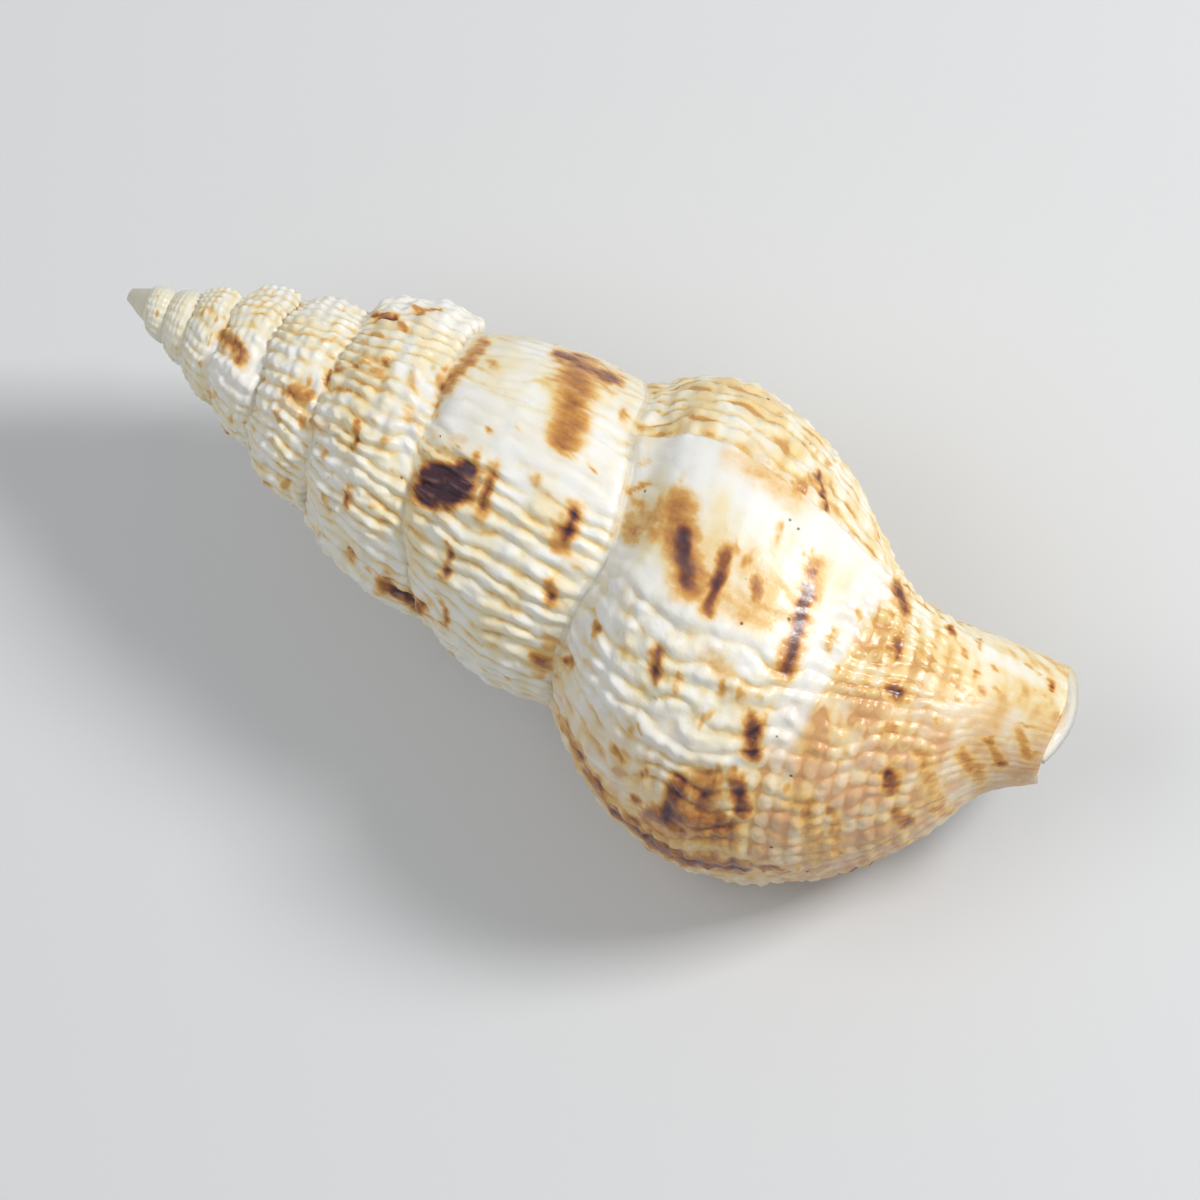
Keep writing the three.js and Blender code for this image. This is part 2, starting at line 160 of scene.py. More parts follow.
# Relief dips towards a seam: its least share, and how wide the dip is after and before one.
SEAM_RELIEF = 0.3
DIP_AFTER_SEAM = 0.35
DIP_BEFORE_SEAM = 0.5
# A place across is 0 to 1 over a spire whorl, and goes on by 1 for each of these on the base.
ACROSS_STEP = 10

# The camera looks down on the outer side, tipped a little towards the canal.
VIEW_TIP = math.radians(15)
VIEW_TURN = math.radians(27.7)
VIEW_TARGET = (40.0, -3.6, 0)
VIEW_WIDTH = 81.9
LENS = 600
SENSOR = 36
CLIP_METRES = (0.01, 10)

# Lights: metres right, up and towards the eye from what the camera looks at, size in metres,
# power in watts.
KEY_LIGHT = ((0.29, 0.17, 0.40), 0.12, 2.05)
FILL_LIGHT = ((-0.38, 0.10, 0.42), 0.45, 0.8)
SKY_COLOUR = (0.9, 0.95, 1.0)
SKY_STRENGTH = 0.36
FLOOR_GREY = (0.72, 0.72, 0.72)
FLOOR_ROUGHNESS = 0.8
FLOOR_METRES = 2


def smoothstep(x, low, high):
    t = np.clip((np.asarray(x, float) - low) / (high - low), 0, 1)
    return t * t * (3 - 2 * t)


def rise_and_fall(x, start, full, hold, end):
    """1 from full to hold, and 0 before start and after end."""
    return smoothstep(x, start, full) * (1 - smoothstep(x, hold, end))


def at_least(least, share):
    """From least, where the share is 0, to 1, where it is 1."""
    return least + (1 - least) * share


def between(xs, ys, at):
    """Values along a smooth curve through listed places that never overshoots."""
    xs, ys = np.asarray(xs, float), np.asarray(ys, float)
    steps = np.diff(ys) / np.diff(xs)
    slope = np.concatenate([steps[:1], np.zeros(len(xs) - 2), steps[-1:]])
    same = steps[:-1] * steps[1:] > 0
    total = np.where(same, steps[:-1] + steps[1:], 1)
    slope[1:-1] = np.where(same, 2 * steps[:-1] * steps[1:] / total, 0)
    at = np.clip(at, xs[0], xs[-1])
    i = np.clip(np.searchsorted(xs, at, side="right") - 1, 0, len(xs) - 2)
    width = xs[i + 1] - xs[i]
    t = (at - xs[i]) / width
    rise = t * t * (3 - 2 * t)
    return (ys[i] * (1 - rise) + ys[i + 1] * rise
            + width * t * (1 - t) * ((1 - t) * slope[i] - t * slope[i + 1]))


SEAM_TURNS, SEAM_STATIONS, SEAM_RADII = (np.array(c, float) for c in zip(*SEAM))
BEND_STATIONS, BEND_ACROSS, BEND_UP = (np.array(c, float) for c in zip(*BEND))


def place(turn, station, radius):
    """Places in the shell's own frame, in millimetres."""
    angle = 2 * np.pi * np.asarray(turn, float)
    y = between(BEND_STATIONS, BEND_ACROSS, station) - radius * np.sin(angle)
    z = between(BEND_STATIONS, BEND_UP, station) + radius * np.cos(angle)
    return np.stack([np.broadcast_to(station, y.shape), y, z], axis=-1)


def seam_at(turn):
    """The seam wanders a little along the axis, as it does on a grown shell."""
    station = between(SEAM_TURNS, SEAM_STATIONS, turn)
    phase = 2 * np.pi * np.asarray(turn, float)
    wander = sum(share * np.sin(waves * phase + start) for share, waves, start in SEAM_WAVES)
    station = station + SEAM_WANDER * wander * rise_and_fall(turn, *SEAM_WANDERS)
    return np.stack([station, between(SEAM_TURNS, SEAM_RADII, turn)], axis=-1)


def spire_outline(turn):
    """Control points across a spire whorl, one row of them per turn."""
    top, bottom = seam_at(turn), seam_at(turn + 1)
    along = bottom - top
    out = np.stack([-along[:, 1], along[:, 0]], axis=-1)
    out /= np.linalg.norm(out, axis=1, keepdims=True)
    swell = between(*zip(*SWELL), turn)[:, None, None]
    share, lift = (np.array(c, float)[None, :, None] for c in zip(*SWELL_ACROSS))
    return top[:, None] + along[:, None] * share + out[:, None] * lift * swell


def last_whorl_outline(turn):
    """Control points down the last whorl, one row of them per turn."""
    first = spire_outline(np.array([BODY_START]))[0, 1:].tolist() + INNER_WALL
    turns = [BODY_START, *LAST_WHORL]
    listed = np.array([first, *LAST_WHORL.values()])
    points = [seam_at(turn)]
    for k in range(listed.shape[1]):
        points.append(np.stack([between(turns, listed[:, k, c], turn) for c in (0, 1)], axis=-1))
    return np.stack(points, axis=1)


def smooth_curve(points, fine=CURVE_STEPS):
    """A Catmull-Rom curve through each row of points."""
    before = 2 * points[:, :1] - points[:, 1:2]
    after = 2 * points[:, -1:] - points[:, -2:-1]
    padded = np.concatenate([before, points, after], axis=1)
    t = np.linspace(0, 1, fine, endpoint=False)[None, :, None]
    pieces = []
    for s in range(points.shape[1] - 1):
        p0, p1, p2, p3 = (padded[:, s + k, None] for k in range(4))
        pieces.append(0.5 * (2 * p1 + (p2 - p0) * t + (2 * p0 - 5 * p1 + 4 * p2 - p3) * t**2
                             + (3 * p1 - p0 - 3 * p2 + p3) * t**3))
    return np.concatenate([*pieces, points[:, -1:]], axis=1)


def spaced(points, count):
    """Evenly spaced places along the curve through each row of points."""
    curve = smooth_curve(points)
    steps = np.linalg.norm(np.diff(curve, axis=1), axis=2)
    length = np.concatenate([np.zeros((len(points), 1)), np.cumsum(steps, axis=1)], axis=1)
    share = np.linspace(0, 1, count + 1)
    out = np.empty((len(points), count + 1, 2))
    for i in range(len(points)):
        for c in (0, 1):
            out[i, :, c] = np.interp(share * length[i, -1], length[i], curve[i, :, c])
    return out, length[:, -1]


def varix_lift(turn):
    """How far the varices stand up: steep on the older side, long on the newer."""
    lift = np.zeros_like(turn)
    for start, height in VARICES:
        rise = smoothstep(turn - start, -VARIX_RISE, 0)
        fall = 1 - smoothstep(turn - start, 0, VARIX_FALL)
        lift = np.maximum(lift, height * rise * fall)
    last = np.exp(-(((turn - LIP_VARIX_TURN) / LIP_VARIX_WIDTH) ** 2))
    return lift + LIP_VARIX_HEIGHT * last


def fold_lift(turn, station):
    """The bold folds, which die out towards the base."""
    lift = sum(height * np.exp(-(((turn - at) / width) ** 2)) for at, width, height in BOLD_FOLDS)
    return lift * (1 - smoothstep(station, *FOLDS_END))


LIP_COLUMN = round((LIP_TURN - FIRST_TURN) * TURN_COLUMNS)
BODY_COLUMN = LIP_COLUMN - TURN_COLUMNS


def column_step(column):
    """How many columns one face spans: the small early whorls need fewer."""
    turn = FIRST_TURN + column / TURN_COLUMNS
    if turn < QUARTER_DENSITY_BEFORE - TURN_SLACK:
        return 4
    return 2 if turn < HALF_DENSITY_BEFORE - TURN_SLACK else 1


class Skin:
    """The outer skin: one ribbon wound on itself, welded along the seams."""

    def __init__(self):
        turns = FIRST_TURN + np.arange(LIP_COLUMN + 1) / TURN_COLUMNS
        spire, spire_width = spaced(spire_outline(turns[:BODY_COLUMN]), ROWS)
        points = last_whorl_outline(turns[BODY_COLUMN:])
        upper, upper_width = spaced(points[:, :SHOULDER_POINTS], ROWS)
        lower, lower_width = spaced(points[:, SHOULDER_POINTS - 1:], BASE_ROWS)
        self.outline = {c: spire[c] for c in range(BODY_COLUMN)}
        for i in range(TURN_COLUMNS + 1):
            self.outline[BODY_COLUMN + i] = np.concatenate([upper[i], lower[i, 1:]])
        self.upper_width = np.concatenate([spire_width, upper_width])
        self.lower_width = lower_width
        self.keys, self.index, self.faces = [], {}, []
        self.extra = []
        self.wind()

    def vertex(self, column, row):
        """The index of a vertex. A whorl's last row is the first row of the next whorl."""
        if row == ROWS and column <= BODY_COLUMN:
            column, row = column + TURN_COLUMNS, 0
        key = (column, row)
        if key not in self.index:
            self.index[key] = len(self.keys)
            self.keys.append(key)
        return self.index[key]

    def strip(self, upper, lower):
        """Faces between two rows, which may have different numbers of vertices."""
        i = j = 0
        last_upper, last_lower = len(upper) - 1, len(lower) - 1
        while i < last_upper or j < last_lower:
            if i < last_upper and j < last_lower and last_upper == last_lower:
                self.faces.append((upper[i], upper[i + 1], lower[j + 1], lower[j]))
                i, j = i + 1, j + 1
            elif j == last_lower or (i < last_upper
                                     and (i + 1) * last_lower < (j + 1) * last_upper):
                self.faces.append((upper[i], upper[i + 1], lower[j]))
                i += 1
            else:
                self.faces.append((upper[i], lower[j + 1], lower[j]))
                j += 1

    def row(self, start, end, step, row):
        return [self.vertex(c, row) for c in range(start, end + 1, step)]

    def fan(self, loop, turn_station_radius):
        """Closes a loop with triangles to one vertex."""
        centre = len(self.keys) + len(self.extra)
        self.extra.append(turn_station_radius)
        for k, v in enumerate(loop):
            after = loop[(k + 1) % len(loop)]
            if v != after:
                self.faces.append((v, after, centre))

    def dome(self, loop, ring):
        """A narrower ring of vertices inside a loop, which rounds the end over."""
        inner = {}
        for v in loop:
            turn = FIRST_TURN + self.keys[v][0] / TURN_COLUMNS
            if self.keys[v][0] % TURN_COLUMNS == 0:
                turn = FIRST_TURN
            if turn not in inner:
                inner[turn] = len(self.keys) + len(self.extra)
                self.extra.append((turn, *ring))
        near = [inner[FIRST_TURN + (self.keys[v][0] % TURN_COLUMNS) / TURN_COLUMNS] for v in loop]
        for k, v in enumerate(loop):
            after = (k + 1) % len(loop)
            corners = dict.fromkeys((v, loop[after], near[after], near[k]))
            if len(corners) > 2:
                self.faces.append(tuple(corners))
        return near

    def wind(self):
        """All faces: the whorls, the base, the wall inside the lip, the tip and the end."""
        column = 0
        while column < LIP_COLUMN:
            step = column_step(column)
            for row in range(ROWS):
                wraps = row == ROWS - 1 and column < BODY_COLUMN
                below = min(step, column_step(column + TURN_COLUMNS)) if wraps else step
                self.strip(self.row(column, column + step, step, row),
                           self.row(column, column + step, below, row + 1))
            column += step
        for row in range(ROWS, ROWS + BASE_ROWS):
            for column in range(BODY_COLUMN, LIP_COLUMN):
                self.strip(self.row(column, column + 1, 1, row),
                           self.row(column, column + 1, 1, row + 1))
        last = ROWS + BASE_ROWS
        inner = [self.vertex(BODY_COLUMN, r) for r in range(ROWS, last + 1)]
        outer = [self.vertex(LIP_COLUMN, r) for r in range(last + 1)]
        self.strip(inner, outer)
        top = self.row(0, TURN_COLUMNS, column_step(0), 0)[::-1]
        top += [self.vertex(0, r) for r in range(1, ROWS)]
        end = self.row(BODY_COLUMN, LIP_COLUMN, 1, last)
        self.fan(self.dome(top, TIP_RING), (0, TIP, 0))
        self.fan(end, (0, CANAL_CAP, 0))
        self.faces = [f for f in self.faces if len(set(f)) == len(f)]

    def measure(self):
        """Where each vertex is, and what the relief and the colours need to know of it."""
        columns, rows = (np.array(c) for c in zip(*self.keys))
        places = np.array([self.outline[c][r] for c, r in self.keys])
        turn = FIRST_TURN + columns / TURN_COLUMNS
        station, radius = places[:, 0], places[:, 1]
        width = self.upper_width[columns]
        on_base = rows > ROWS
        base = np.zeros(len(rows))
        base_share = (rows[on_base] - ROWS) / BASE_ROWS
        base[on_base] = base_share * self.lower_width[columns[on_base] - BODY_COLUMN]
        cord = 0.5 + np.where(on_base, CORDS + base / CORD_SPACING, CORDS * rows / ROWS)
        after_seam = smoothstep(rows / ROWS * width, 0, DIP_AFTER_SEAM)
        before_seam = smoothstep((1 - rows / ROWS) * width, 0, DIP_BEFORE_SEAM)
        seam = np.where(on_base, 1, at_least(SEAM_RELIEF, after_seam))
        spire = columns < BODY_COLUMN
        seam = np.where(spire, seam * at_least(SEAM_RELIEF, before_seam), seam)
        fade = 1 - smoothstep(station, *VARICES_END)
        radius = radius + varix_lift(turn) * fade * at_least(VARIX_AT_SEAM, seam)
        radius = radius + np.where(spire, 0, fold_lift(turn, station)) * seam
        position = place(turn, station, radius)
        self.position = np.vstack([position, *(place(*added)[None] for added in self.extra)])
        # The added vertices are those of the tip and, last of all, the canal's end.
        self.turn = self.padded(turn, FIRST_TURN)
        self.turn[-1] = LIP_TURN
        self.station = self.padded(station, 0)
        self.station[-1] = CANAL_CAP
        across = np.where(on_base, 1 + base / ACROSS_STEP, rows / ROWS)
        self.across = self.padded(across, 0)
        self.cord = self.padded(cord, 0)
        self.seam = self.padded(seam, 0)

    def padded(self, values, end):
        """Values with one more for each added vertex."""
        return np.concatenate([values, np.full(len(self.extra), end, float)])


# Fine relief: ribs along the axis, and cords across them.
RIBS_A_TURN = 56
CORDS = 6
CORD_SPACING = 1.15
RIB_HEIGHT = 0.34
CORD_HEIGHT = 0.12
LUMP_HEIGHT = 0.4
# Small early whorls carry fewer ribs: turn, share of the full number.
RIB_SHARES = [(FIRST_TURN, 0.35), (-4, 0.5), (-1.5, 1), (LIP_TURN, 1)]
RIB_STEPS = 2000
# Folds of the last whorl that stand out from the other ribs: turn, width in turns, height.
BOLD_FOLDS = [
    (0.014, 0.011, 0.3), (0.043, 0.008, 0.16), (0.105, 0.009, 0.2), (0.17, 0.01, 0.22),
]
FOLDS_END = (55, 58.5)

# Where the relief is weaker. Two numbers say where a change starts and ends. Four say where
# a part starts, is full, is full for the last time, and ends. Smoothness is a share taken off.
RIBS_GROW_TURNS = 6
LEAST_RIBS = 0.22
PANEL_TURNS = (-0.12, -0.10, 0.0, 0.04)
PANEL_STATIONS = (38, 41, 57.6, 59.4)
PANEL_SMOOTHNESS = 0.85
OLD_PANEL_TURNS = (-1.36, -1.32, -1.04, -1.0)
OLD_PANEL_SMOOTHNESS = 0.7
LAST_WHORL_SMOOTHNESS = 0.18
BASE_START = (57, 60)
BASE_SMOOTHNESS = 0.2
LOWER_SIDE = (0.0, 0.12)
UPPER_CANAL = (61.5, 68)
LOWER_CANAL = (64, 72)
UPPER_CANAL_SMOOTHNESS = 0.93
LOWER_CANAL_GAIN = 0.13
CALLUS_END = -0.4
CALLUS_FADE = 0.07
LIP_FADE = 0.02
LIP_SMOOTHNESS = 0.8

# How much the cords break the ribs into beads.
SPIRE_BEADS = 0.38
LATE_SPIRE = (-1.3, -1.1)
LATE_SPIRE_LOSS = 0.08
LAST_WHORL_BEADS = 0.3
LOW_PART = (0.08, 0.2)
LOW_PART_BEADS = 0.4
BEADED_BASE = (56.5, 59.5)
BASE_BEADS = 0.5


def rib_turns(turn):
    """Turns counted so that small early whorls carry fewer ribs."""
    fine = np.linspace(FIRST_TURN, LIP_TURN, RIB_STEPS)
    share = np.interp(fine[1:], *zip(*RIB_SHARES))
    total = np.concatenate([[0], np.cumsum(np.diff(fine) * share)])
    return np.interp(turn, fine, total)


def relief_strength(skin):
    """How strongly the ribs stand out, from 0 to 1, at each vertex."""
    turn, station = skin.turn, skin.station
    body = turn >= BODY_START - TURN_SLACK
    strength = np.clip((turn - FIRST_TURN) / RIBS_GROW_TURNS, LEAST_RIBS, 1)
    after_varix = rise_and_fall(turn, *PANEL_TURNS)
    middle = rise_and_fall(station, *PANEL_STATIONS)
    strength = strength * (1 - PANEL_SMOOTHNESS * after_varix * middle * body)
    base = BASE_SMOOTHNESS * smoothstep(station, *BASE_START)
    strength = strength * (1 - LAST_WHORL_SMOOTHNESS * body - base * body)
    lower = smoothstep(turn, *LOWER_SIDE)
    fading = (1 - lower) * smoothstep(station, *UPPER_CANAL)
    fading = fading + lower * smoothstep(station, *LOWER_CANAL)
    canal = UPPER_CANAL_SMOOTHNESS - LOWER_CANAL_GAIN * lower
    strength = strength * (1 - canal * fading * body)
    strength = strength * (1 - OLD_PANEL_SMOOTHNESS * rise_and_fall(turn, *OLD_PANEL_TURNS))
    callus = np.where(body, smoothstep(turn, CALLUS_END - CALLUS_FADE, CALLUS_END), 1)
    lip = 1 - LIP_SMOOTHNESS * smoothstep(turn, LIP_TURN - LIP_FADE, LIP_TURN)
    return strength * callus * lip * skin.seam


def cord_strength(skin):
    """How much the spiral cords break the ribs into beads, from 0 to 1."""
    body = skin.turn >= BODY_START - TURN_SLACK
    spire = SPIRE_BEADS - LATE_SPIRE_LOSS * smoothstep(skin.turn, *LATE_SPIRE)
    low = LOW_PART_BEADS * smoothstep(skin.turn, *LOW_PART)
    base = BASE_BEADS * smoothstep(skin.station, *BEADED_BASE)
    return np.where(body, np.clip(LAST_WHORL_BEADS + low + base, 0, 1), spire)


def lie_matrix():
    """From the shell's own frame, in millimetres, to the table, in metres."""
    turn = Matrix.Rotation(LIE_PITCH, 4, "Y") @ Matrix.Rotation(LIE_ROLL, 4, "X")
    return Matrix.Translation(Vector(TIP_PLACE) * MM) @ turn @ Matrix.Scale(MM, 4)


LIE = lie_matrix()


def laid(points):
    """Places moved from the shell's own frame to the table."""
    m = np.array(LIE)
    return points @ m[:3, :3].T + m[:3, 3]


# Brown marks on the outer side, as strokes seen from above it: from (along, across) to
# (along, across), width, darkness. Across is measured downwards from the axis.
MARKS = [
    # On the last whorl.
    (41.5, -2.8, 43.3, -0.2, 1.6, 0.88), (40.4, -4.4, 43.4, -0.2, 3.0, 0.52),
    (37.9, -3.4, 39.8, -2.1, 1.6, 0.35), (44.7, -3.1, 45.4, 0.8, 1.1, 0.66),
    (44.6, -3.4, 45.5, 0.7, 1.5, 0.4), (47.4, -2.4, 47.8, -1.6, 1.0, 0.5),
    (47.0, -6.6, 47.5, -5.3, 0.7, 0.25), (50.7, -3.6, 51.9, 1.8, 1.2, 0.9),
    (50.4, -5.0, 52.0, 2.2, 2.0, 0.42), (43.7, 4.9, 44.3, 6.4, 0.8, 0.8),
    (45.8, 5.8, 46.0, 6.8, 0.7, 0.35), (48.5, 4.7, 48.8, 5.4, 0.7, 0.4),
    (51.6, 6.1, 52.5, 8.0, 1.2, 0.9), (44.8, 9.9, 45.3, 10.2, 0.5, 0.4),
    (44.1, 12.1, 45.1, 12.7, 0.5, 0.5), (46.7, 12.4, 46.7, 13.0, 0.4, 0.45),
    (44.2, 14.5, 44.6, 14.8, 0.7, 0.7), (38.6, 8.2, 39.0, 8.5, 0.6, 0.45),
    (39.2, 5.2, 39.7, 5.9, 0.6, 0.3), (42.6, -9.6, 47.3, -8.8, 3.6, 0.2),
    (38.5, -1.6, 39.7, -3.6, 2.4, 0.34), (45.6, -0.3, 49.6, -0.5, 3.4, 0.24),
    (46.2, -3.2, 50.0, -2.6, 3.4, 0.2), (42.2, -2.6, 44.8, -1.0, 3.6, 0.2),
    (47.0, 3.6, 50.4, 5.0, 2.4, 0.2),
    # On its lower edge.
    (49.2, 12.1, 49.5, 14.6, 1.8, 0.75), (50.7, 11.3, 51.6, 13.6, 2.6, 0.55),
    (49.4, 14.6, 53.4, 13.6, 3.0, 0.52), (43.2, 14.6, 46.6, 16.4, 1.4, 0.55),
    (52.5, 10.2, 53.8, 11.7, 1.2, 0.85), (40.0, 12.0, 42.6, 13.8, 0.7, 0.5),
    (46.1, 16.2, 50.9, 16.9, 1.6, 0.85), (50.9, 16.9, 55.7, 15.2, 1.2, 0.75),
    (48.4, 15.0, 52.8, 13.1, 1.6, 0.68), (46.8, 14.6, 47.3, 14.6, 0.9, 0.45),
    (59.3, 9.0, 60.8, 11.3, 1.0, 0.4), (55.6, 15.0, 59.1, 13.7, 0.3, 0.6),
    # On the base and the canal.
    (47.7, -10.8, 49.3, -9.0, 0.5, 0.85), (56.0, -6.6, 57.2, -5.5, 1.0, 0.7),
    (57.7, -3.4, 58.1, -2.6, 1.1, 0.68), (59.1, -0.4, 59.3, 0.0, 1.3, 0.66),
    (60.1, 1.9, 60.2, 2.2, 1.2, 0.5), (61.5, 4.9, 62.0, 5.7, 1.2, 0.7),
    (63.2, 7.1, 63.9, 7.2, 1.5, 0.55), (53.0, -10.3, 53.3, -10.0, 0.5, 0.5),
    (54.6, -9.0, 55.4, -8.2, 0.4, 0.65), (53.6, -2.0, 53.7, -0.7, 0.8, 0.35),
    (54.9, 0.2, 55.2, 0.5, 0.7, 0.35), (54.5, -3.7, 54.7, -3.4, 0.7, 0.3),
    (61.2, -3.7, 61.4, -3.4, 0.7, 0.38), (62.0, -4.9, 62.3, -4.5, 0.6, 0.42),
    (63.3, -3.9, 63.5, -3.6, 0.6, 0.42), (62.2, -2.6, 62.5, -2.5, 0.5, 0.4),
    (64.1, -3.0, 64.4, -2.8, 0.7, 0.36), (62.9, -1.9, 63.1, -1.7, 0.6, 0.3),
    (64.2, -4.8, 64.5, -4.6, 0.5, 0.36), (62.5, -5.8, 62.8, -5.7, 0.5, 0.42),
    (59.4, -3.4, 59.6, -3.2, 0.5, 0.3), (60.5, -5.6, 60.8, -5.6, 0.5, 0.4),
    (59.8, -5.0, 60.1, -4.9, 0.5, 0.36), (66.5, -0.1, 67.7, 0.8, 0.9, 0.42),
    (67.8, -1.7, 69.2, -0.5, 1.0, 0.4), (65.4, 1.6, 67.0, 2.3, 1.4, 0.42),
    (62.6, 2.6, 64.6, 4.6, 1.6, 0.34), (57.0, 9.0, 59.6, 12.0, 2.0, 0.3),
    (64.8, 4.6, 66.0, 5.6, 1.2, 0.36), (68.0, -5.8, 68.5, -5.3, 0.3, 0.6),
    # On the whorl before it.
    (30.0, -9.9, 31.4, -5.4, 3.1, 0.5), (28.3, -9.9, 32.9, -10.2, 0.7, 0.75),
    (23.4, -8.2, 22.6, -4.2, 1.1, 0.45), (22.5, -3.8, 22.8, -2.3, 0.7, 0.3),
    (24.6, -7.3, 24.9, -7.2, 0.6, 0.4), (34.2, -8.7, 34.3, -8.0, 0.6, 0.55),
    (35.6, -8.1, 35.9, -8.0, 0.7, 0.3), (36.9, -3.7, 38.1, -5.0, 0.6, 0.42),
    (36.8, -5.9, 37.1, -6.2, 0.5, 0.36), (30.7, -4.3, 32.5, -4.1, 0.4, 0.36),
    (28.4, -4.1, 28.6, -4.0, 0.4, 0.36), (26.6, -3.2, 26.8, -3.1, 0.4, 0.4),
    (33.7, -4.2, 34.0, -4.0, 0.3, 0.45), (24.3, 1.5, 26.6, 0.0, 1.4, 1.3),
    (24.6, 2.5, 26.8, 1.2, 1.5, 1.3), (24.8, 3.2, 26.7, 2.2, 1.0, 1.1),
    (26.5, -0.2, 26.7, -1.2, 0.5, 0.6), (26.0, 3.3, 26.8, 3.6, 1.4, 0.25),
    (23.3, 0.4, 25.5, -1.3, 0.3, 0.4), (28.1, -0.8, 28.8, 1.9, 0.5, 0.8),
    (28.1, -1.1, 28.9, 2.6, 1.2, 0.3), (30.9, -1.6, 31.2, -1.3, 1.0, 0.36),
    (34.4, -0.9, 34.6, 0.8, 1.0, 0.95), (34.6, 1.3, 34.8, 1.6, 0.9, 0.4),
    (35.2, 4.3, 35.6, 5.1, 1.0, 0.55), (35.4, 4.9, 35.6, 5.1, 0.6, 0.85),
    (35.8, 6.0, 36.0, 6.5, 0.4, 0.36), (27.7, 4.9, 28.6, 7.1, 0.5, 0.75),
    (29.7, 9.1, 30.0, 10.0, 0.5, 0.65), (36.6, 9.2, 37.4, 9.1, 1.0, 0.65),
    # On the early whorls.
    (7.5, -0.6, 9.1, 0.2, 1.4, 0.5), (13.6, 0.7, 14.4, 0.7, 1.4, 0.55),
    (13.3, 1.7, 16.2, 2.1, 1.4, 0.24), (18.5, 0.5, 18.9, 2.2, 0.5, 0.62),
    (19.9, 5.0, 20.3, 5.9, 0.5, 0.65), (22.1, 8.7, 22.4, 8.9, 0.6, 0.45),
    (25.0, 9.5, 28.0, 9.7, 0.9, 0.8), (15.9, -6.4, 17.2, -6.9, 0.5, 0.65),
    (17.8, -6.7, 18.1, -6.6, 0.5, 0.5), (18.2, -8.0, 19.7, -8.8, 0.3, 0.5),
    (15.5, -2.1, 17.3, -3.4, 0.4, 0.4), (15.9, -0.6, 16.7, -1.2, 0.5, 0.4),
    (15.7, -4.7, 17.1, -5.6, 0.3, 0.3), (17.9, -4.2, 18.1, -3.7, 0.3, 0.5),
    (15.1, -1.8, 15.3, -0.7, 0.3, 0.5), (8.2, 3.5, 8.5, 3.7, 0.5, 0.35),
    (20.2, -3.8, 20.6, -3.3, 1.1, 0.26), (21.0, -1.8, 21.4, -1.4, 1.3, 0.26),
    (18.1, -4.1, 18.4, -3.7, 0.5, 0.5),
]
# A stroke is darkest up to the first of these shares of its half width, and ends at the second.
STROKE_FADE = (0.05, 1.6)
# The pale halo round a stroke: tone, and where it starts and ends beside the stroke's edge.
HALO_TONE = 0.34
HALO_FADE = (-0.2, 0.8)
# The strokes' edges are uneven: places in a millimetre, and by how much.
STROKE_WOBBLES = [(1.1, 0.22), (3.0, 0.14)]

# A length that stands for no length, so that nothing is divided by zero.
LEAST_LENGTH = 1e-6
LEAST_NORMAL = 1e-12

# Scattered marks where the photograph doesn't show the shell: within so many turns of the
# lip, and by a power that crowds them towards it.
HIDDEN_MARKS = 90
MARK_SEED = 7
HIDDEN_TURNS = 5
HIDDEN_CROWDING = 1.6
ACROSS_END = 2.4
# Their sizes, the share that is left on the earliest whorls, and the turn from which that
# share grows and for how many turns.
HIDDEN_SIZES = (0.6, 1.9)
EARLY_SIZE = 0.4
SIZES_GROW = (-6, 5)
HIDDEN_TONES = (0.3, 1)
HIDDEN_FADE = (0.3, 1.5)
# They are narrower round the axis, which is measured at a middling radius.
MIDDLE_RADIUS = 10
ROUND_SQUEEZE = 0.5
# How much a surface faces the eye while the listed marks take over from the scattered ones.
FACING_AWAY = (-0.05, 0.2)


def seen_from_above(position):
    """Along and across, in millimetres, as the marks are listed."""
    x, y, z = position.T
    return x * math.cos(VIEW_TIP) - z * math.sin(VIEW_TIP), -y


def stroke_tone(along, across, marks):
    """Darkness of soft-edged strokes: darkest along the middle, fading past their width."""
    tone = np.zeros_like(along)
    for a0, c0, a1, c1, width, dark in marks:
        da, dc = a1 - a0, c1 - c0
        length = max(da * da + dc * dc, LEAST_LENGTH)
        t = np.clip(((along - a0) * da + (across - c0) * dc) / length, 0, 1)
        gap = np.hypot(along - a0 - t * da, across - c0 - t * dc)
        core = dark * (1 - smoothstep(gap / (0.5 * width), *STROKE_FADE))
        halo = HALO_TONE * dark * (1 - smoothstep(gap - 0.5 * width, *HALO_FADE))
        tone = np.maximum(tone, np.maximum(core, halo))
    return tone


def vertex_normals(position, faces):
    """Unit normals. The product of a face's diagonals points along its own normal."""
    normals = np.zeros_like(position)
    quads = np.array([f if len(f) == 4 else (*f, f[0]) for f in faces])
    a, b, c, d = (position[quads[:, k]] for k in range(4))
    is_triangle = (quads[:, 3] == quads[:, 0])[:, None]
    face_normal = np.cross(c - a, np.where(is_triangle, c - b, d - b))
    for k in range(4):
        np.add.at(normals, quads[:, k], face_normal)
    length = np.linalg.norm(normals, axis=1, keepdims=True)
    return normals / np.maximum(length, LEAST_NORMAL)


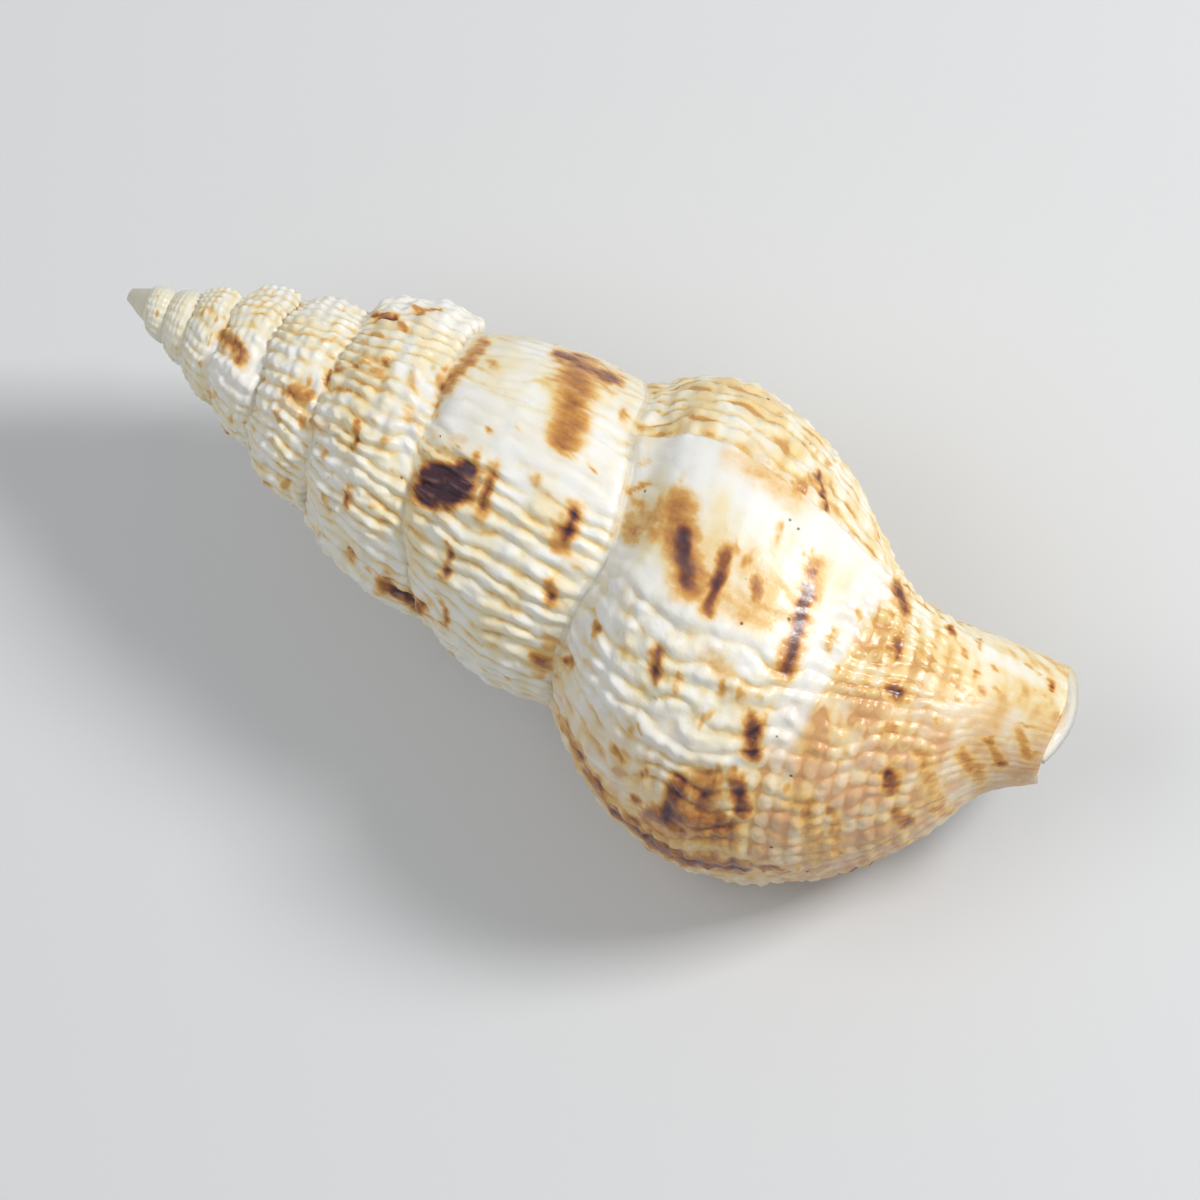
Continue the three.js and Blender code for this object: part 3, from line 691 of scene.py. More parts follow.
def hidden_tone(skin, shift):
    """Darkness of the marks scattered over the whole shell."""
    rng = np.random.default_rng(MARK_SEED)
    tone = np.zeros(len(skin.position))
    first, growing = SIZES_GROW
    for _ in range(HIDDEN_MARKS):
        turn = LIP_TURN - HIDDEN_TURNS * rng.random() ** HIDDEN_CROWDING
        across = rng.random() * ACROSS_END
        pick = np.argmin(np.abs(skin.turn - turn) + np.abs(skin.across - across))
        size = rng.uniform(*HIDDEN_SIZES) * at_least(EARLY_SIZE, min(1, (turn - first) / growing))
        turn_gap = (skin.turn - turn + 0.5) % 1 - 0.5
        round_gap = np.abs(turn_gap) * 2 * np.pi * MIDDLE_RADIUS
        gap = np.linalg.norm(skin.position - skin.position[pick] + shift, axis=1) / size
        gap = np.hypot(gap, ROUND_SQUEEZE * round_gap / size)
        dark = rng.uniform(*HIDDEN_TONES)
        tone = np.maximum(tone, dark * (1 - smoothstep(gap, *HIDDEN_FADE)))
    return tone


def mark_tone(skin):
    """Darkness of the brown marks: the listed ones on top, scattered ones out of sight."""
    noise.seed_set(MARK_SEED)
    along, across = seen_from_above(skin.position)
    shift = sum(amount * np.array([noise.noise_vector(Vector(p) * scale) for p in skin.position])
                for scale, amount in STROKE_WOBBLES)
    shown = stroke_tone(along + shift[:, 0], across + shift[:, 1], MARKS)
    normals = vertex_normals(skin.position, skin.faces)
    facing = normals[:, 0] * math.sin(VIEW_TIP) + normals[:, 2] * math.cos(VIEW_TIP)
    out_of_sight = 1 - smoothstep(facing, *FACING_AWAY)
    hidden = hidden_tone(skin, shift)
    return np.maximum(shown * (1 - out_of_sight), hidden * out_of_sight)


def add_attribute(mesh, name, values):
    attribute = mesh.attributes.new(name, "FLOAT", "POINT")
    attribute.data.foreach_set("value", np.asarray(values, np.float32))


def mesh_object(name, points, faces):
    mesh = bpy.data.meshes.new(name)
    mesh.from_pydata([tuple(p) for p in points], [], faces)
    made = bpy.data.objects.new(name, mesh)
    bpy.context.scene.collection.objects.link(made)
    return made


class Tree:
    """A node tree made in script, with short ways to add nodes."""

    def __init__(self, tree):
        self.tree = tree

    def node(self, kind, **settings):
        made = self.tree.nodes.new(kind)
        for key, value in settings.items():
            setattr(made, key, value)
        return made

    def link(self, a, b):
        self.tree.links.new(a, b)

    def feed(self, socket, value):
        if isinstance(value, bpy.types.NodeSocket):
            self.link(value, socket)
        else:
            socket.default_value = value

    def math(self, operation, *values, clamp=False):
        made = self.node("ShaderNodeMath", operation=operation, use_clamp=clamp)
        for socket, value in zip(made.inputs, values):
            self.feed(socket, value)
        return made.outputs[0]

    def about_zero(self, value, amount):
        """Noise, which lies about a half, made to swing about 0 by an amount."""
        return self.math("MULTIPLY", self.math("SUBTRACT", value, 0.5), amount)

    def attribute(self, name):
        made = self.node("GeometryNodeInputNamedAttribute", data_type="FLOAT")
        made.inputs["Name"].default_value = name
        return next(o for o in made.outputs if o.name == "Attribute" and o.enabled)

    def range(self, value, low, high, to_low=0.0, to_high=1.0):
        """A smooth step from one value to another."""
        made = self.node("ShaderNodeMapRange", interpolation_type="SMOOTHSTEP")
        for socket, given in zip(made.inputs[:5], (value, low, high, to_low, to_high)):
            self.feed(socket, given)
        return made.outputs[0]


RIB_BLUNTNESS = 0.6
CORD_BLUNTNESS = 0.7
GAP_DEPTH = 0.7
# Noise of the relief: places in a millimetre, detail.
COARSE_NOISE = (0.25, 2.0)
MEDIUM_NOISE = (0.7, 2.0)
FINE_NOISE = (2.6, 3.0)
LUMP_NOISE = (0.42, 1.0)
# How far the ribs and cords wander, as shares of their spacing.
RIB_WANDER = 5.0
RIB_JITTER = 0.9
CORD_WANDER = 0.6
RIB_VARIETY = (0.34, 0.66, 0.45, 1.35)
GRAIN_HEIGHT = 0.05
ROUGH_WHERE_SMOOTH = 0.2
# The relief goes down by this share of its height, so that it lies about the plain surface.
SINK_SHARE = 0.42


def bead_height(t, rib_cos, cord_cos, beaded, rib_height, cord_height):
    """Nodes for the height of a rib that cords break into beads."""
    rib = t.math("POWER", t.math("MULTIPLY_ADD", rib_cos, 0.5, 0.5), RIB_BLUNTNESS)
    cord = t.math("POWER", t.math("MULTIPLY_ADD", cord_cos, 0.5, 0.5), CORD_BLUNTNESS)
    gap = t.math("MULTIPLY", t.math("SUBTRACT", 1.0, cord), beaded)
    bead = t.math("MULTIPLY", rib, t.math("SUBTRACT", 1.0, t.math("MULTIPLY", gap, GAP_DEPTH)))
    ring = t.math("MULTIPLY", t.math("MULTIPLY", cord, beaded), cord_height)
    return t.math("MULTIPLY_ADD", bead, rib_height, ring)


def relief_tree():
    """Geometry Nodes: ribs along the axis, cords round it, and a bead where they cross."""
    group = bpy.data.node_groups.new("shell_relief", "GeometryNodeTree")
    sockets = group.interface
    sockets.new_socket("Geometry", in_out="INPUT", socket_type="NodeSocketGeometry")
    sockets.new_socket("Geometry", in_out="OUTPUT", socket_type="NodeSocketGeometry")
    for name, value in (("Ribs a turn", RIBS_A_TURN), ("Rib height", RIB_HEIGHT),
                        ("Cord height", CORD_HEIGHT), ("Lump height", LUMP_HEIGHT),
                        ("Unevenness", 0.5), ("Seed", 3.0)):
        made = sockets.new_socket(name, in_out="INPUT", socket_type="NodeSocketFloat")
        made.default_value = value
    sockets.new_socket("Surface", in_out="INPUT", socket_type="NodeSocketMaterial")
    t = Tree(group)
    given = t.node("NodeGroupInput").outputs
    where = t.node("GeometryNodeInputPosition").outputs[0]
    offset = t.node("ShaderNodeCombineXYZ")
    t.link(given["Seed"], offset.inputs["X"])
    moved = t.node("ShaderNodeVectorMath", operation="ADD")
    t.link(where, moved.inputs[0])
    t.link(offset.outputs[0], moved.inputs[1])

    def noise_at(scale, detail):
        made = t.node("ShaderNodeTexNoise")
        t.link(moved.outputs[0], made.inputs["Vector"])
        made.inputs["Scale"].default_value = scale
        made.inputs["Detail"].default_value = detail
        return made.outputs["Fac"]

    medium = noise_at(*MEDIUM_NOISE)
    wander = t.about_zero(noise_at(*COARSE_NOISE), given["Unevenness"])
    jitter = t.about_zero(medium, given["Unevenness"])
    rib_phase = t.math("MULTIPLY", t.attribute("rib"), given["Ribs a turn"])
    rib_phase = t.math("ADD", rib_phase, t.math("MULTIPLY", wander, RIB_WANDER))
    rib_phase = t.math("ADD", rib_phase, t.math("MULTIPLY", jitter, RIB_JITTER))
    cord_phase = t.math("ADD", t.attribute("cord"), t.math("MULTIPLY", wander, CORD_WANDER))
    waves = {}
    for name, phase in (("rib", rib_phase), ("cord", cord_phase)):
        angle = t.math("MULTIPLY", phase, 2 * math.pi)
        waves[name + "_cos"] = t.math("COSINE", angle)
        waves[name + "_sin"] = t.math("SINE", angle)
    strength = t.attribute("strength")
    power = t.math("MULTIPLY", strength, t.range(medium, *RIB_VARIETY))
    bead = bead_height(t, waves["rib_cos"], waves["cord_cos"], t.attribute("beaded"),
                       given["Rib height"], given["Cord height"])
    lift = t.math("MULTIPLY", bead, power)
    grain = t.about_zero(noise_at(*FINE_NOISE), GRAIN_HEIGHT)
    lumps = t.about_zero(noise_at(*LUMP_NOISE), given["Lump height"])
    ridged = t.math("MULTIPLY_ADD", strength, 1 - ROUGH_WHERE_SMOOTH, ROUGH_WHERE_SMOOTH)
    rough = t.math("MULTIPLY", t.math("ADD", grain, lumps), ridged)
    top = t.math("ADD", given["Rib height"], given["Cord height"])
    sink = t.math("MULTIPLY", t.math("MULTIPLY", top, strength), -SINK_SHARE)
    lift = t.math("ADD", t.math("ADD", lift, rough), sink)
    along = t.node("ShaderNodeVectorMath", operation="SCALE")
    t.link(t.node("GeometryNodeInputNormal").outputs[0], along.inputs[0])
    t.link(lift, along.inputs["Scale"])
    geometry = given["Geometry"]
    for name, value in {**waves, "power": power}.items():
        store = t.node("GeometryNodeStoreNamedAttribute", data_type="FLOAT", domain="POINT")
        t.link(geometry, store.inputs["Geometry"])
        store.inputs["Name"].default_value = name
        t.link(value, store.inputs["Value"])
        geometry = store.outputs[0]
    push = t.node("GeometryNodeSetPosition")
    t.link(geometry, push.inputs["Geometry"])
    t.link(along.outputs[0], push.inputs["Offset"])
    real = t.node("GeometryNodeRealizeInstances")
    t.link(push.outputs[0], real.inputs[0])
    paint = t.node("GeometryNodeSetMaterial")
    t.link(real.outputs[0], paint.inputs["Geometry"])
    t.link(given["Surface"], paint.inputs["Material"])
    t.link(paint.outputs[0], t.node("NodeGroupOutput").inputs[0])
    return group


def apply_relief(made, material):
    """Runs the relief tree on an object and keeps the result as a plain mesh."""
    modifier = made.modifiers.new("relief", "NODES")
    modifier.node_group = relief_tree()
    for item in modifier.node_group.interface.items_tree:
        if item.name == "Surface":
            modifier[item.identifier] = material
    depsgraph = bpy.context.evaluated_depsgraph_get()
    plain = bpy.data.meshes.new_from_object(made.evaluated_get(depsgraph))
    made.modifiers.clear()
    made.data = plain


def loft(name, sections, material):
    """A closed solid through rings of points, capped flat at both ends."""
    count = len(sections[0])
    points = [p for section in sections for p in section]
    faces = [tuple(range(count))[::-1]]
    for i in range(len(sections) - 1):
        for k in range(count):
            a, b = i * count + k, i * count + (k + 1) % count
            faces.append((a, b, b + count, a + count))
    start = (len(sections) - 1) * count
    faces.append(tuple(range(start, start + count)))
    made = mesh_object(name, points, faces)
    mesh = bmesh.new()
    mesh.from_mesh(made.data)
    bmesh.ops.recalc_face_normals(mesh, faces=mesh.faces)
    mesh.to_mesh(made.data)
    mesh.free()
    made.data.materials.append(material)
    return made


def ring(points, count):
    """A smooth closed curve through the points, as evenly many places on it."""
    closed = np.array([*points[-1:], *points, *points[:2]])[None]
    curve = smooth_curve(closed, RING_STEPS)[0, RING_STEPS:-RING_STEPS]
    length = np.concatenate([[0], np.cumsum(np.linalg.norm(np.diff(curve, axis=0), axis=1))])
    share = np.linspace(0, length[-1], count, endpoint=False)
    return np.stack([np.interp(share, length, curve[:, c]) for c in (0, 1)], axis=-1)


def hollow_cutter(material):
    """The hollow behind the mouth, which narrows as it winds inwards."""
    outline = ring(MOUTH, MOUTH_COLUMNS)
    turns, *shape = (np.array(c, float)[::-1] for c in zip(*HOLLOW))
    sections = []
    for turn in np.linspace(turns[-1], turns[0], HOLLOW_ROWS):
        scale, retreat, climb = (between(turns, values, turn) for values in shape)
        station = MOUTH_CENTRE[0] - climb + (outline[:, 0] - MOUTH_CENTRE[0]) * scale
        radius = MOUTH_CENTRE[1] - retreat + (outline[:, 1] - MOUTH_CENTRE[1]) * scale
        sections.append(place(turn, station, radius))
    return loft("hollow", sections, material)


# Directions in the shell's own frame at the lip: away from the axis, and out of the mouth.
LIP_ANGLE = 2 * math.pi * LIP_TURN
AWAY = np.array([0, -math.sin(LIP_ANGLE), math.cos(LIP_ANGLE)])
OUT = np.array([0, -math.cos(LIP_ANGLE), -math.sin(LIP_ANGLE)])


def trough_cutter(material):
    """The trough that runs down the canal, open towards the table."""
    half = TROUGH_HALF_WIDTH
    around = np.linspace(0, math.pi, TROUGH_FLOOR_POINTS)
    floor = [(-half * math.cos(a), -TROUGH_WALL - TROUGH_FLOOR * math.sin(a)) for a in around]
    outline = [(-half, TROUGH_OPENING), *floor, (half, TROUGH_OPENING)]
    sections = []
    for station in np.arange(TROUGH[0][0], TROUGH[-1][0], TROUGH_STEP):
        middle = place(LIP_TURN, station, between(*zip(*TROUGH), station))
        sections.append(np.array([middle + AWAY * a + OUT * o for a, o in outline]))
    return loft("trough", sections, material)


def bore_cutter(material):
    """The open end of the canal, which leaves a thin rim."""
    turns = np.linspace(BODY_START + BORE_MARGIN, LIP_TURN - BORE_MARGIN, BORE_COLUMNS)
    rims = last_whorl_outline(turns)[:, -1, 1]
    stations = np.linspace(CANAL_BORE[0][0], CANAL_BORE[-1][0], BORE_ROWS)
    shares = between(*zip(*CANAL_BORE), stations)
    sections = [place(turns, station, rims * share) for station, share in zip(stations, shares)]
    return loft("bore", sections, material)


def boolean(made, other, operation):
    """Cuts one object with another or joins it to it, and removes the other."""
    modifier = made.modifiers.new(operation, "BOOLEAN")
    modifier.operation = operation
    modifier.solver = "MANIFOLD"
    modifier.object = other
    modifier.material_mode = "TRANSFER"
    depsgraph = bpy.context.evaluated_depsgraph_get()
    plain = bpy.data.meshes.new_from_object(made.evaluated_get(depsgraph))
    made.modifiers.clear()
    made.data = plain
    bpy.data.objects.remove(other)


def tooth(station, material):
    """A low ridge inside the lip that runs back into the mouth."""
    radius = between(*zip(*MOUTH[:MOUTH_OUTER_POINTS]), station)
    middle = place(LIP_TURN, station, radius) - OUT * TOOTH_INSET
    mesh = bpy.data.meshes.new("tooth")
    made = bpy.data.objects.new("tooth", mesh)
    bpy.context.scene.collection.objects.link(made)
    ball = bmesh.new()
    around, down = TOOTH_FACETS
    bmesh.ops.create_uvsphere(ball, u_segments=around, v_segments=down, radius=1)
    turn = Matrix.Rotation(LIP_ANGLE, 4, "X")
    shape = Matrix.Translation(middle) @ turn @ Matrix.Diagonal((*TOOTH_SIZE, 1))
    bmesh.ops.transform(ball, verts=ball.verts, matrix=shape)
    ball.to_mesh(mesh)
    ball.free()
    mesh.materials.append(material)
    return made


# The ground colour goes through these as it gets warmer.
WHITE = (0.87, 0.85, 0.80)
IVORY = (0.86, 0.77, 0.55)
CREAM = (0.82, 0.59, 0.25)
TAN = (0.62, 0.32, 0.09)
GROUND_COLOURS = [(0.0, WHITE), (0.35, IVORY), (0.72, CREAM), (1.0, TAN)]
GREY_TIP = (0.78, 0.75, 0.61)
PINK_TAN = (0.68, 0.37, 0.19)
PIT_BROWN = (0.10, 0.06, 0.04)
# A mark goes from a golden stain through brown to nearly black as it gets darker.
MARK_COLOURS = [
    (0.0, (0.87, 0.68, 0.34)), (0.2, (0.82, 0.53, 0.18)), (0.4, (0.60, 0.28, 0.07)),
    (0.6, (0.34, 0.12, 0.035)), (0.8, (0.16, 0.05, 0.03)), (1.0, (0.06, 0.02, 0.03)),
]
INSIDE_COLOURS = [(0.3, (0.88, 0.82, 0.70)), (0.7, (0.84, 0.70, 0.50))]
SHELL_FINISH = {
    "Subsurface Weight": 0.1, "Subsurface Radius": (1.0, 0.6, 0.35),
    "Subsurface Scale": 0.0008, "Coat Weight": 0.18, "Coat Roughness": 0.16,
}
INSIDE_FINISH = {
    "Roughness": 0.2, "Coat Weight": 0.5, "Coat Roughness": 0.08,
    "Subsurface Weight": 0.1, "Subsurface Scale": 0.001,
}

# Noise that follows the growth: places in a turn and in a cord, detail, roughness.
BLOCKS = (17.0, 0.8, 1.5, 0.5)
STREAKS = (120.0, 1.1, 3.0, 0.6)
FLECKS = (34.0, 0.7, 2.0, 0.5)
# Noise in plain space: places in a metre, detail, roughness.
PATCHES = (170, 2.0, 0.55)
BLOTCHES = (480, 3.0, 0.55)
GRAIN = (2400, 4.0, 0.55)
FINE_BUMPS = (1500, 4.0, 0.6)
PIT_PATCHES = (300, 3.0, 0.55)
INSIDE_CLOUDS = (220, 2.0, 0.5)
PITS_A_METRE = 700

# Smooth steps of the ground colour: a value's low and high end, and what they turn into.
# Pairs for the tint are a factor and a start.
BLOCK_SHARE, PATCH_SHARE = 0.55, 0.45
WARM_PATCHES = (0.40, 0.62)
PATCHES_BY_TINT = (0.4, 0.2)
WARMTH_BY_TINT = (0.45, 1.0, 0.0, 0.34)
# The grooves are darkened in colour: partly the shell's own gold, partly painted shade between
# the ribs.
GROOVES_BY_BLOTCH = (0.36, 0.62, 0.15, 0.9)
GROOVES_BY_TINT = (0.55, 0.25)
GROOVE_TAN_AND_SHADE = 1.2
STREAK_WARMTH = 0.2
PINK_BY_BLOTCH = (0.35, 0.65, 0.2, 0.8)
RIBBED = (0.1, 0.5)
LOW_IN_GROOVES = (0.05, 0.55, 1.0, 0.0)

# The same for the marks, the pits and the finish.
BREAKS_BY_STREAK = 0.55
BREAKS_BY_BLOTCH = 0.5
BREAKS_BY_MARK = (0.03, 0.35, 0.0, 0.8)
# How the marks deepen in the grooves and pale on the rib tops, partly as painted shade: a gain
# and an offset.
MARK_TONE_AND_SHADE_IN_GROOVES = (0.4, -0.14)
FLECK_TONES = (0.55, 0.74, 0.0, 0.3)
MARK_COVERS = (0.03, 0.30)
PIT_EDGE = (0.05, 0.11, 1.0, 0.0)
PITTED = (0.56, 0.6)
PIT_DARKNESS = 0.8
ROUGHNESS_BY_GRAIN = (0.3, 0.7, 0.27, 0.48)
BUMP_STRENGTH = 0.7
BUMP_HEIGHT = 0.0002
BUMP_SHARES = {"fine": 0.22, "streaks": 0.22, "pits": -0.5}
LEAST_SQUARES = 0.01


class Paint(Tree):
    """A material's node tree, with short ways to read the surface and to mix colours."""

    def __init__(self, material):
        super().__init__(material.node_tree)
        self.coords = self.node("ShaderNodeTexCoord").outputs["Object"]

    def read(self, name):
        return self.node("ShaderNodeAttribute", attribute_name=name).outputs["Fac"]

    def noise(self, scale, detail, rough, vector=None):
        made = self.node("ShaderNodeTexNoise")
        self.link(self.coords if vector is None else vector, made.inputs["Vector"])
        made.inputs["Scale"].default_value = scale
        made.inputs["Detail"].default_value = detail
        made.inputs["Roughness"].default_value = rough
        return made.outputs["Fac"]

    def growth_noise(self, ribs, cords, detail, rough):
        """Noise on a place counted in ribs and cords, so that it follows the growth."""
        made = self.node("ShaderNodeCombineXYZ")
        self.link(self.math("MULTIPLY", self.read("rib"), ribs), made.inputs["X"])
        self.link(self.math("MULTIPLY", self.read("cord"), cords), made.inputs["Y"])
        return self.noise(1.0, detail, rough, made.outputs[0])

    def sharp_cosine(self, name):
        """The cosine of a phase, kept true between the vertices that hold it."""
        cosine, sine = self.read(name + "_cos"), self.read(name + "_sin")
        squares = self.math("ADD", self.math("MULTIPLY", cosine, cosine),
                            self.math("MULTIPLY", sine, sine))
        length = self.math("SQRT", self.math("MAXIMUM", squares, LEAST_SQUARES))
        return self.math("DIVIDE", cosine, length)

    def ramp(self, value, stops):
        made = self.node("ShaderNodeValToRGB")
        self.link(value, made.inputs[0])
        elements = made.color_ramp.elements
        for element, (at, colour) in zip(elements, (stops[0], stops[-1])):
            element.position, element.color = at, (*colour, 1)
        for at, colour in stops[1:-1]:
            elements.new(at).color = (*colour, 1)
        return made.outputs["Color"]

    def mix(self, factor, a, b):
        made = self.node("ShaderNodeMix", data_type="RGBA")
        self.feed(made.inputs["Factor"], factor)
        first, second = (s for s in made.inputs if s.type == "RGBA")
        self.feed(first, a)
        self.feed(second, (*b, 1) if isinstance(b, tuple) else b)
        return next(o for o in made.outputs if o.type == "RGBA")

    def finish(self, surface, settings):
        for name, value in settings.items():
            surface.inputs[name].default_value = value


def ground_colour(t, streaks, blotchy, grooves):
    """White to tan: patchy, warmer on the base, white on varices, darker in grooves with gold and
    painted shade.
    """
    tinted = t.read("tint")
    cloudy = t.math("ADD", t.math("MULTIPLY", t.growth_noise(*BLOCKS), BLOCK_SHARE),
                    t.math("MULTIPLY", t.noise(*PATCHES), PATCH_SHARE))
    warm = t.math("MULTIPLY", t.range(cloudy, *WARM_PATCHES),
                  t.math("MULTIPLY_ADD", tinted, *PATCHES_BY_TINT))
    warm = t.math("ADD", warm, t.range(tinted, *WARMTH_BY_TINT))
    # Darker, warmer grooves: partly the shell's own gold between the ribs, partly painted shade
    # where the ribs shade them.
    groove_tan_and_shade = t.math("MULTIPLY", grooves, t.range(blotchy, *GROOVES_BY_BLOTCH))
    groove_tan_and_shade = t.math("MULTIPLY", groove_tan_and_shade, t.math("MULTIPLY_ADD", tinted, *GROOVES_BY_TINT))
    warm = t.math("ADD", warm, t.math("MULTIPLY", groove_tan_and_shade, GROOVE_TAN_AND_SHADE))
    warm = t.math("ADD", warm, t.about_zero(streaks, STREAK_WARMTH), clamp=True)
    base = t.ramp(warm, GROUND_COLOURS)
    pink = t.math("MULTIPLY", t.read("pink"), t.range(blotchy, *PINK_BY_BLOTCH))
    base = t.mix(pink, base, PINK_TAN)
    base = t.mix(t.read("white"), base, WHITE)
    return t.mix(t.read("tip"), base, GREY_TIP)


def add_marks(t, base, streaks, blotchy, ribbed, grooves):
    """The brown marks and small flecks, broken up along the ribs, and deepened by painted shade
    in the grooves.
    """
    mark = t.read("mark")
    broken = t.math("ADD", t.about_zero(streaks, BREAKS_BY_STREAK),
                    t.about_zero(blotchy, BREAKS_BY_BLOTCH))
    broken = t.math("MULTIPLY", broken, t.range(mark, *BREAKS_BY_MARK))
    # Marks darken in the grooves and pale on the rib tops: partly their own tone, partly painted
    # shade.
    mark_groove_tone_and_shade = t.math("MULTIPLY", ribbed, t.math("MULTIPLY_ADD", grooves, *MARK_TONE_AND_SHADE_IN_GROOVES))
    tone = t.math("MULTIPLY_ADD", mark, t.math("ADD", mark_groove_tone_and_shade, 1.0), broken)
    flecks = t.math("MULTIPLY", t.range(t.growth_noise(*FLECKS), *FLECK_TONES),
                    t.math("SUBTRACT", 1.0, t.read("white")))
    tone = t.math("ADD", tone, flecks)
    return t.mix(t.range(tone, *MARK_COVERS), base, t.ramp(tone, MARK_COLOURS))


def pits(t):
    """Small pits, in some patches only."""
    cells = t.node("ShaderNodeTexVoronoi")
    t.link(t.coords, cells.inputs["Vector"])
    cells.inputs["Scale"].default_value = PITS_A_METRE
    pit = t.range(cells.outputs["Distance"], *PIT_EDGE)
    return t.math("MULTIPLY", pit, t.range(t.noise(*PIT_PATCHES), *PITTED))


def shell_material():
    """Glossy cream and white, with gold and painted shade in the grooves, and soft-edged brown
    marks.
    """
    material = bpy.data.materials.new("shell")
    material.use_nodes = True
    material.node_tree.nodes.clear()
    t = Paint(material)
    streaks, blotchy, power = t.growth_noise(*STREAKS), t.noise(*BLOTCHES), t.read("power")
    bead = bead_height(t, t.sharp_cosine("rib"), t.sharp_cosine("cord"), t.read("beaded"),
                       RIB_HEIGHT, CORD_HEIGHT)
    bead = t.math("DIVIDE", bead, RIB_HEIGHT + CORD_HEIGHT)
    ribbed = t.range(power, *RIBBED)
    grooves = t.math("MULTIPLY", t.range(bead, *LOW_IN_GROOVES), ribbed)
    base = ground_colour(t, streaks, blotchy, grooves)
    base = add_marks(t, base, streaks, blotchy, ribbed, grooves)
    pit = pits(t)
    base = t.mix(t.math("MULTIPLY", pit, PIT_DARKNESS), base, PIT_BROWN)
    surface = t.node("ShaderNodeBsdfPrincipled")
    t.link(base, surface.inputs["Base Color"])
    t.link(t.range(t.noise(*GRAIN), *ROUGHNESS_BY_GRAIN), surface.inputs["Roughness"])
    t.finish(surface, SHELL_FINISH)
    rough = t.math("ADD", t.math("MULTIPLY", t.noise(*FINE_BUMPS), BUMP_SHARES["fine"]),
                   t.math("MULTIPLY", streaks, BUMP_SHARES["streaks"]))
    rough = t.math("ADD", rough, t.math("MULTIPLY", pit, BUMP_SHARES["pits"]))
    bump = t.node("ShaderNodeBump")
    bump.inputs["Strength"].default_value = BUMP_STRENGTH
    bump.inputs["Distance"].default_value = BUMP_HEIGHT
    t.link(t.math("ADD", rough, t.math("MULTIPLY", bead, power)), bump.inputs["Height"])
    t.link(bump.outputs[0], surface.inputs["Normal"])
    t.link(surface.outputs[0], t.node("ShaderNodeOutputMaterial").inputs[0])
    return material


def inside_material():
    """Smooth and glossy, white to cream."""
    material = bpy.data.materials.new("shell_inside")
    material.use_nodes = True
    t = Paint(material)
    surface = material.node_tree.nodes["Principled BSDF"]
    t.link(t.ramp(t.noise(*INSIDE_CLOUDS), INSIDE_COLOURS), surface.inputs["Base Color"])
    t.finish(surface, INSIDE_FINISH)
    return material


# White parts, each by where it starts, is full, is full for the last time, and ends.
NEW_VARIX_TURNS = (-0.112, -0.108, -0.088, -0.066)
NEW_VARIX_STATIONS = (40, 42, 56.5, 59)
OLD_VARICES = [
    (0.8, (-1.08, -1.075, -1.04, -1.0)), (1, (-2.26, -2.25, -2.19, -2.15)),
    (1, (-3.98, -3.97, -3.93, -3.88)),
]
PALE_EDGE_STATIONS = (57.4, 58.2, 59.6, 60.2)
PALE_EDGE_TURNS = (-0.16, -0.1, 0.07, 0.12)
FOLD_WHITENESS = 0.8
FOLD_REACH = 4
WHITENESS = 0.8
# Warmer parts of the last whorl, and how much each adds to the tint.
TINTED_BASE = (57, 61)
TINTED_LOW_PART = (0.06, 0.2)
BEFORE_VARIX = (-0.35, -0.25, -0.125, -0.112)
AFTER_VARIX = (-0.09, -0.05, -0.02, 0.01)
UNDERSIDE = (-0.12, 0.12)
SPIRE_TINT = 0.5
LAST_WHORL_TINT = 0.4
BASE_TINT = 0.22
UNDERSIDE_TINT = 0.38
LOW_PART_TINT = 0.4
VARIX_SIDE_TINT = 0.3
PINK_BASE_TURNS = (-0.05, 0.12)
PINK_LOW_PART = 0.5
GREY_TIP_STATIONS = (2, 9)
GREY_TIP_SHARE = 0.7


def whiteness(skin, body, callus):
    """White where lips, varices, bold folds and the callus are."""
    turn, station = skin.turn, skin.station
    varix = rise_and_fall(turn, *NEW_VARIX_TURNS) * body
    pale_edge = rise_and_fall(station, *PALE_EDGE_STATIONS) * body
    return WHITENESS * np.maximum.reduce([
        varix * rise_and_fall(station, *NEW_VARIX_STATIONS),
        pale_edge * rise_and_fall(turn, *PALE_EDGE_TURNS),
        FOLD_WHITENESS * np.clip(FOLD_REACH * fold_lift(turn, station), 0, 1) * body,
        *(share * rise_and_fall(turn, *turns) for share, turns in OLD_VARICES),
        smoothstep(turn, LIP_TURN - LIP_FADE, LIP_TURN),
        callus,
    ])


def skin_attributes(skin):
    """What the relief and the colours read from each vertex."""
    turn, station = skin.turn, skin.station
    body = turn >= BODY_START - TURN_SLACK
    callus = np.where(body, 1 - smoothstep(turn, CALLUS_END - CALLUS_FADE, CALLUS_END), 0)
    base = smoothstep(station, *TINTED_BASE) * body
    low = smoothstep(turn, *TINTED_LOW_PART) * body
    base_tint = BASE_TINT + UNDERSIDE_TINT * smoothstep(turn, *UNDERSIDE)
    beside_varix = rise_and_fall(turn, *BEFORE_VARIX) + rise_and_fall(turn, *AFTER_VARIX)
    tint = LAST_WHORL_TINT + base_tint * base + LOW_PART_TINT * low
    tint = np.clip(tint + VARIX_SIDE_TINT * beside_varix * body, 0, 1)
    return {
        "rib": rib_turns(turn),
        "cord": skin.cord,
        "strength": relief_strength(skin),
        "beaded": cord_strength(skin),
        "mark": mark_tone(skin) * (1 - callus),
        "tint": np.where(body, tint, SPIRE_TINT),
        "pink": np.maximum(base * smoothstep(turn, *PINK_BASE_TURNS), PINK_LOW_PART * low),
        "white": whiteness(skin, body, callus),
        "tip": GREY_TIP_SHARE * (1 - smoothstep(station, *GREY_TIP_STATIONS)),
    }


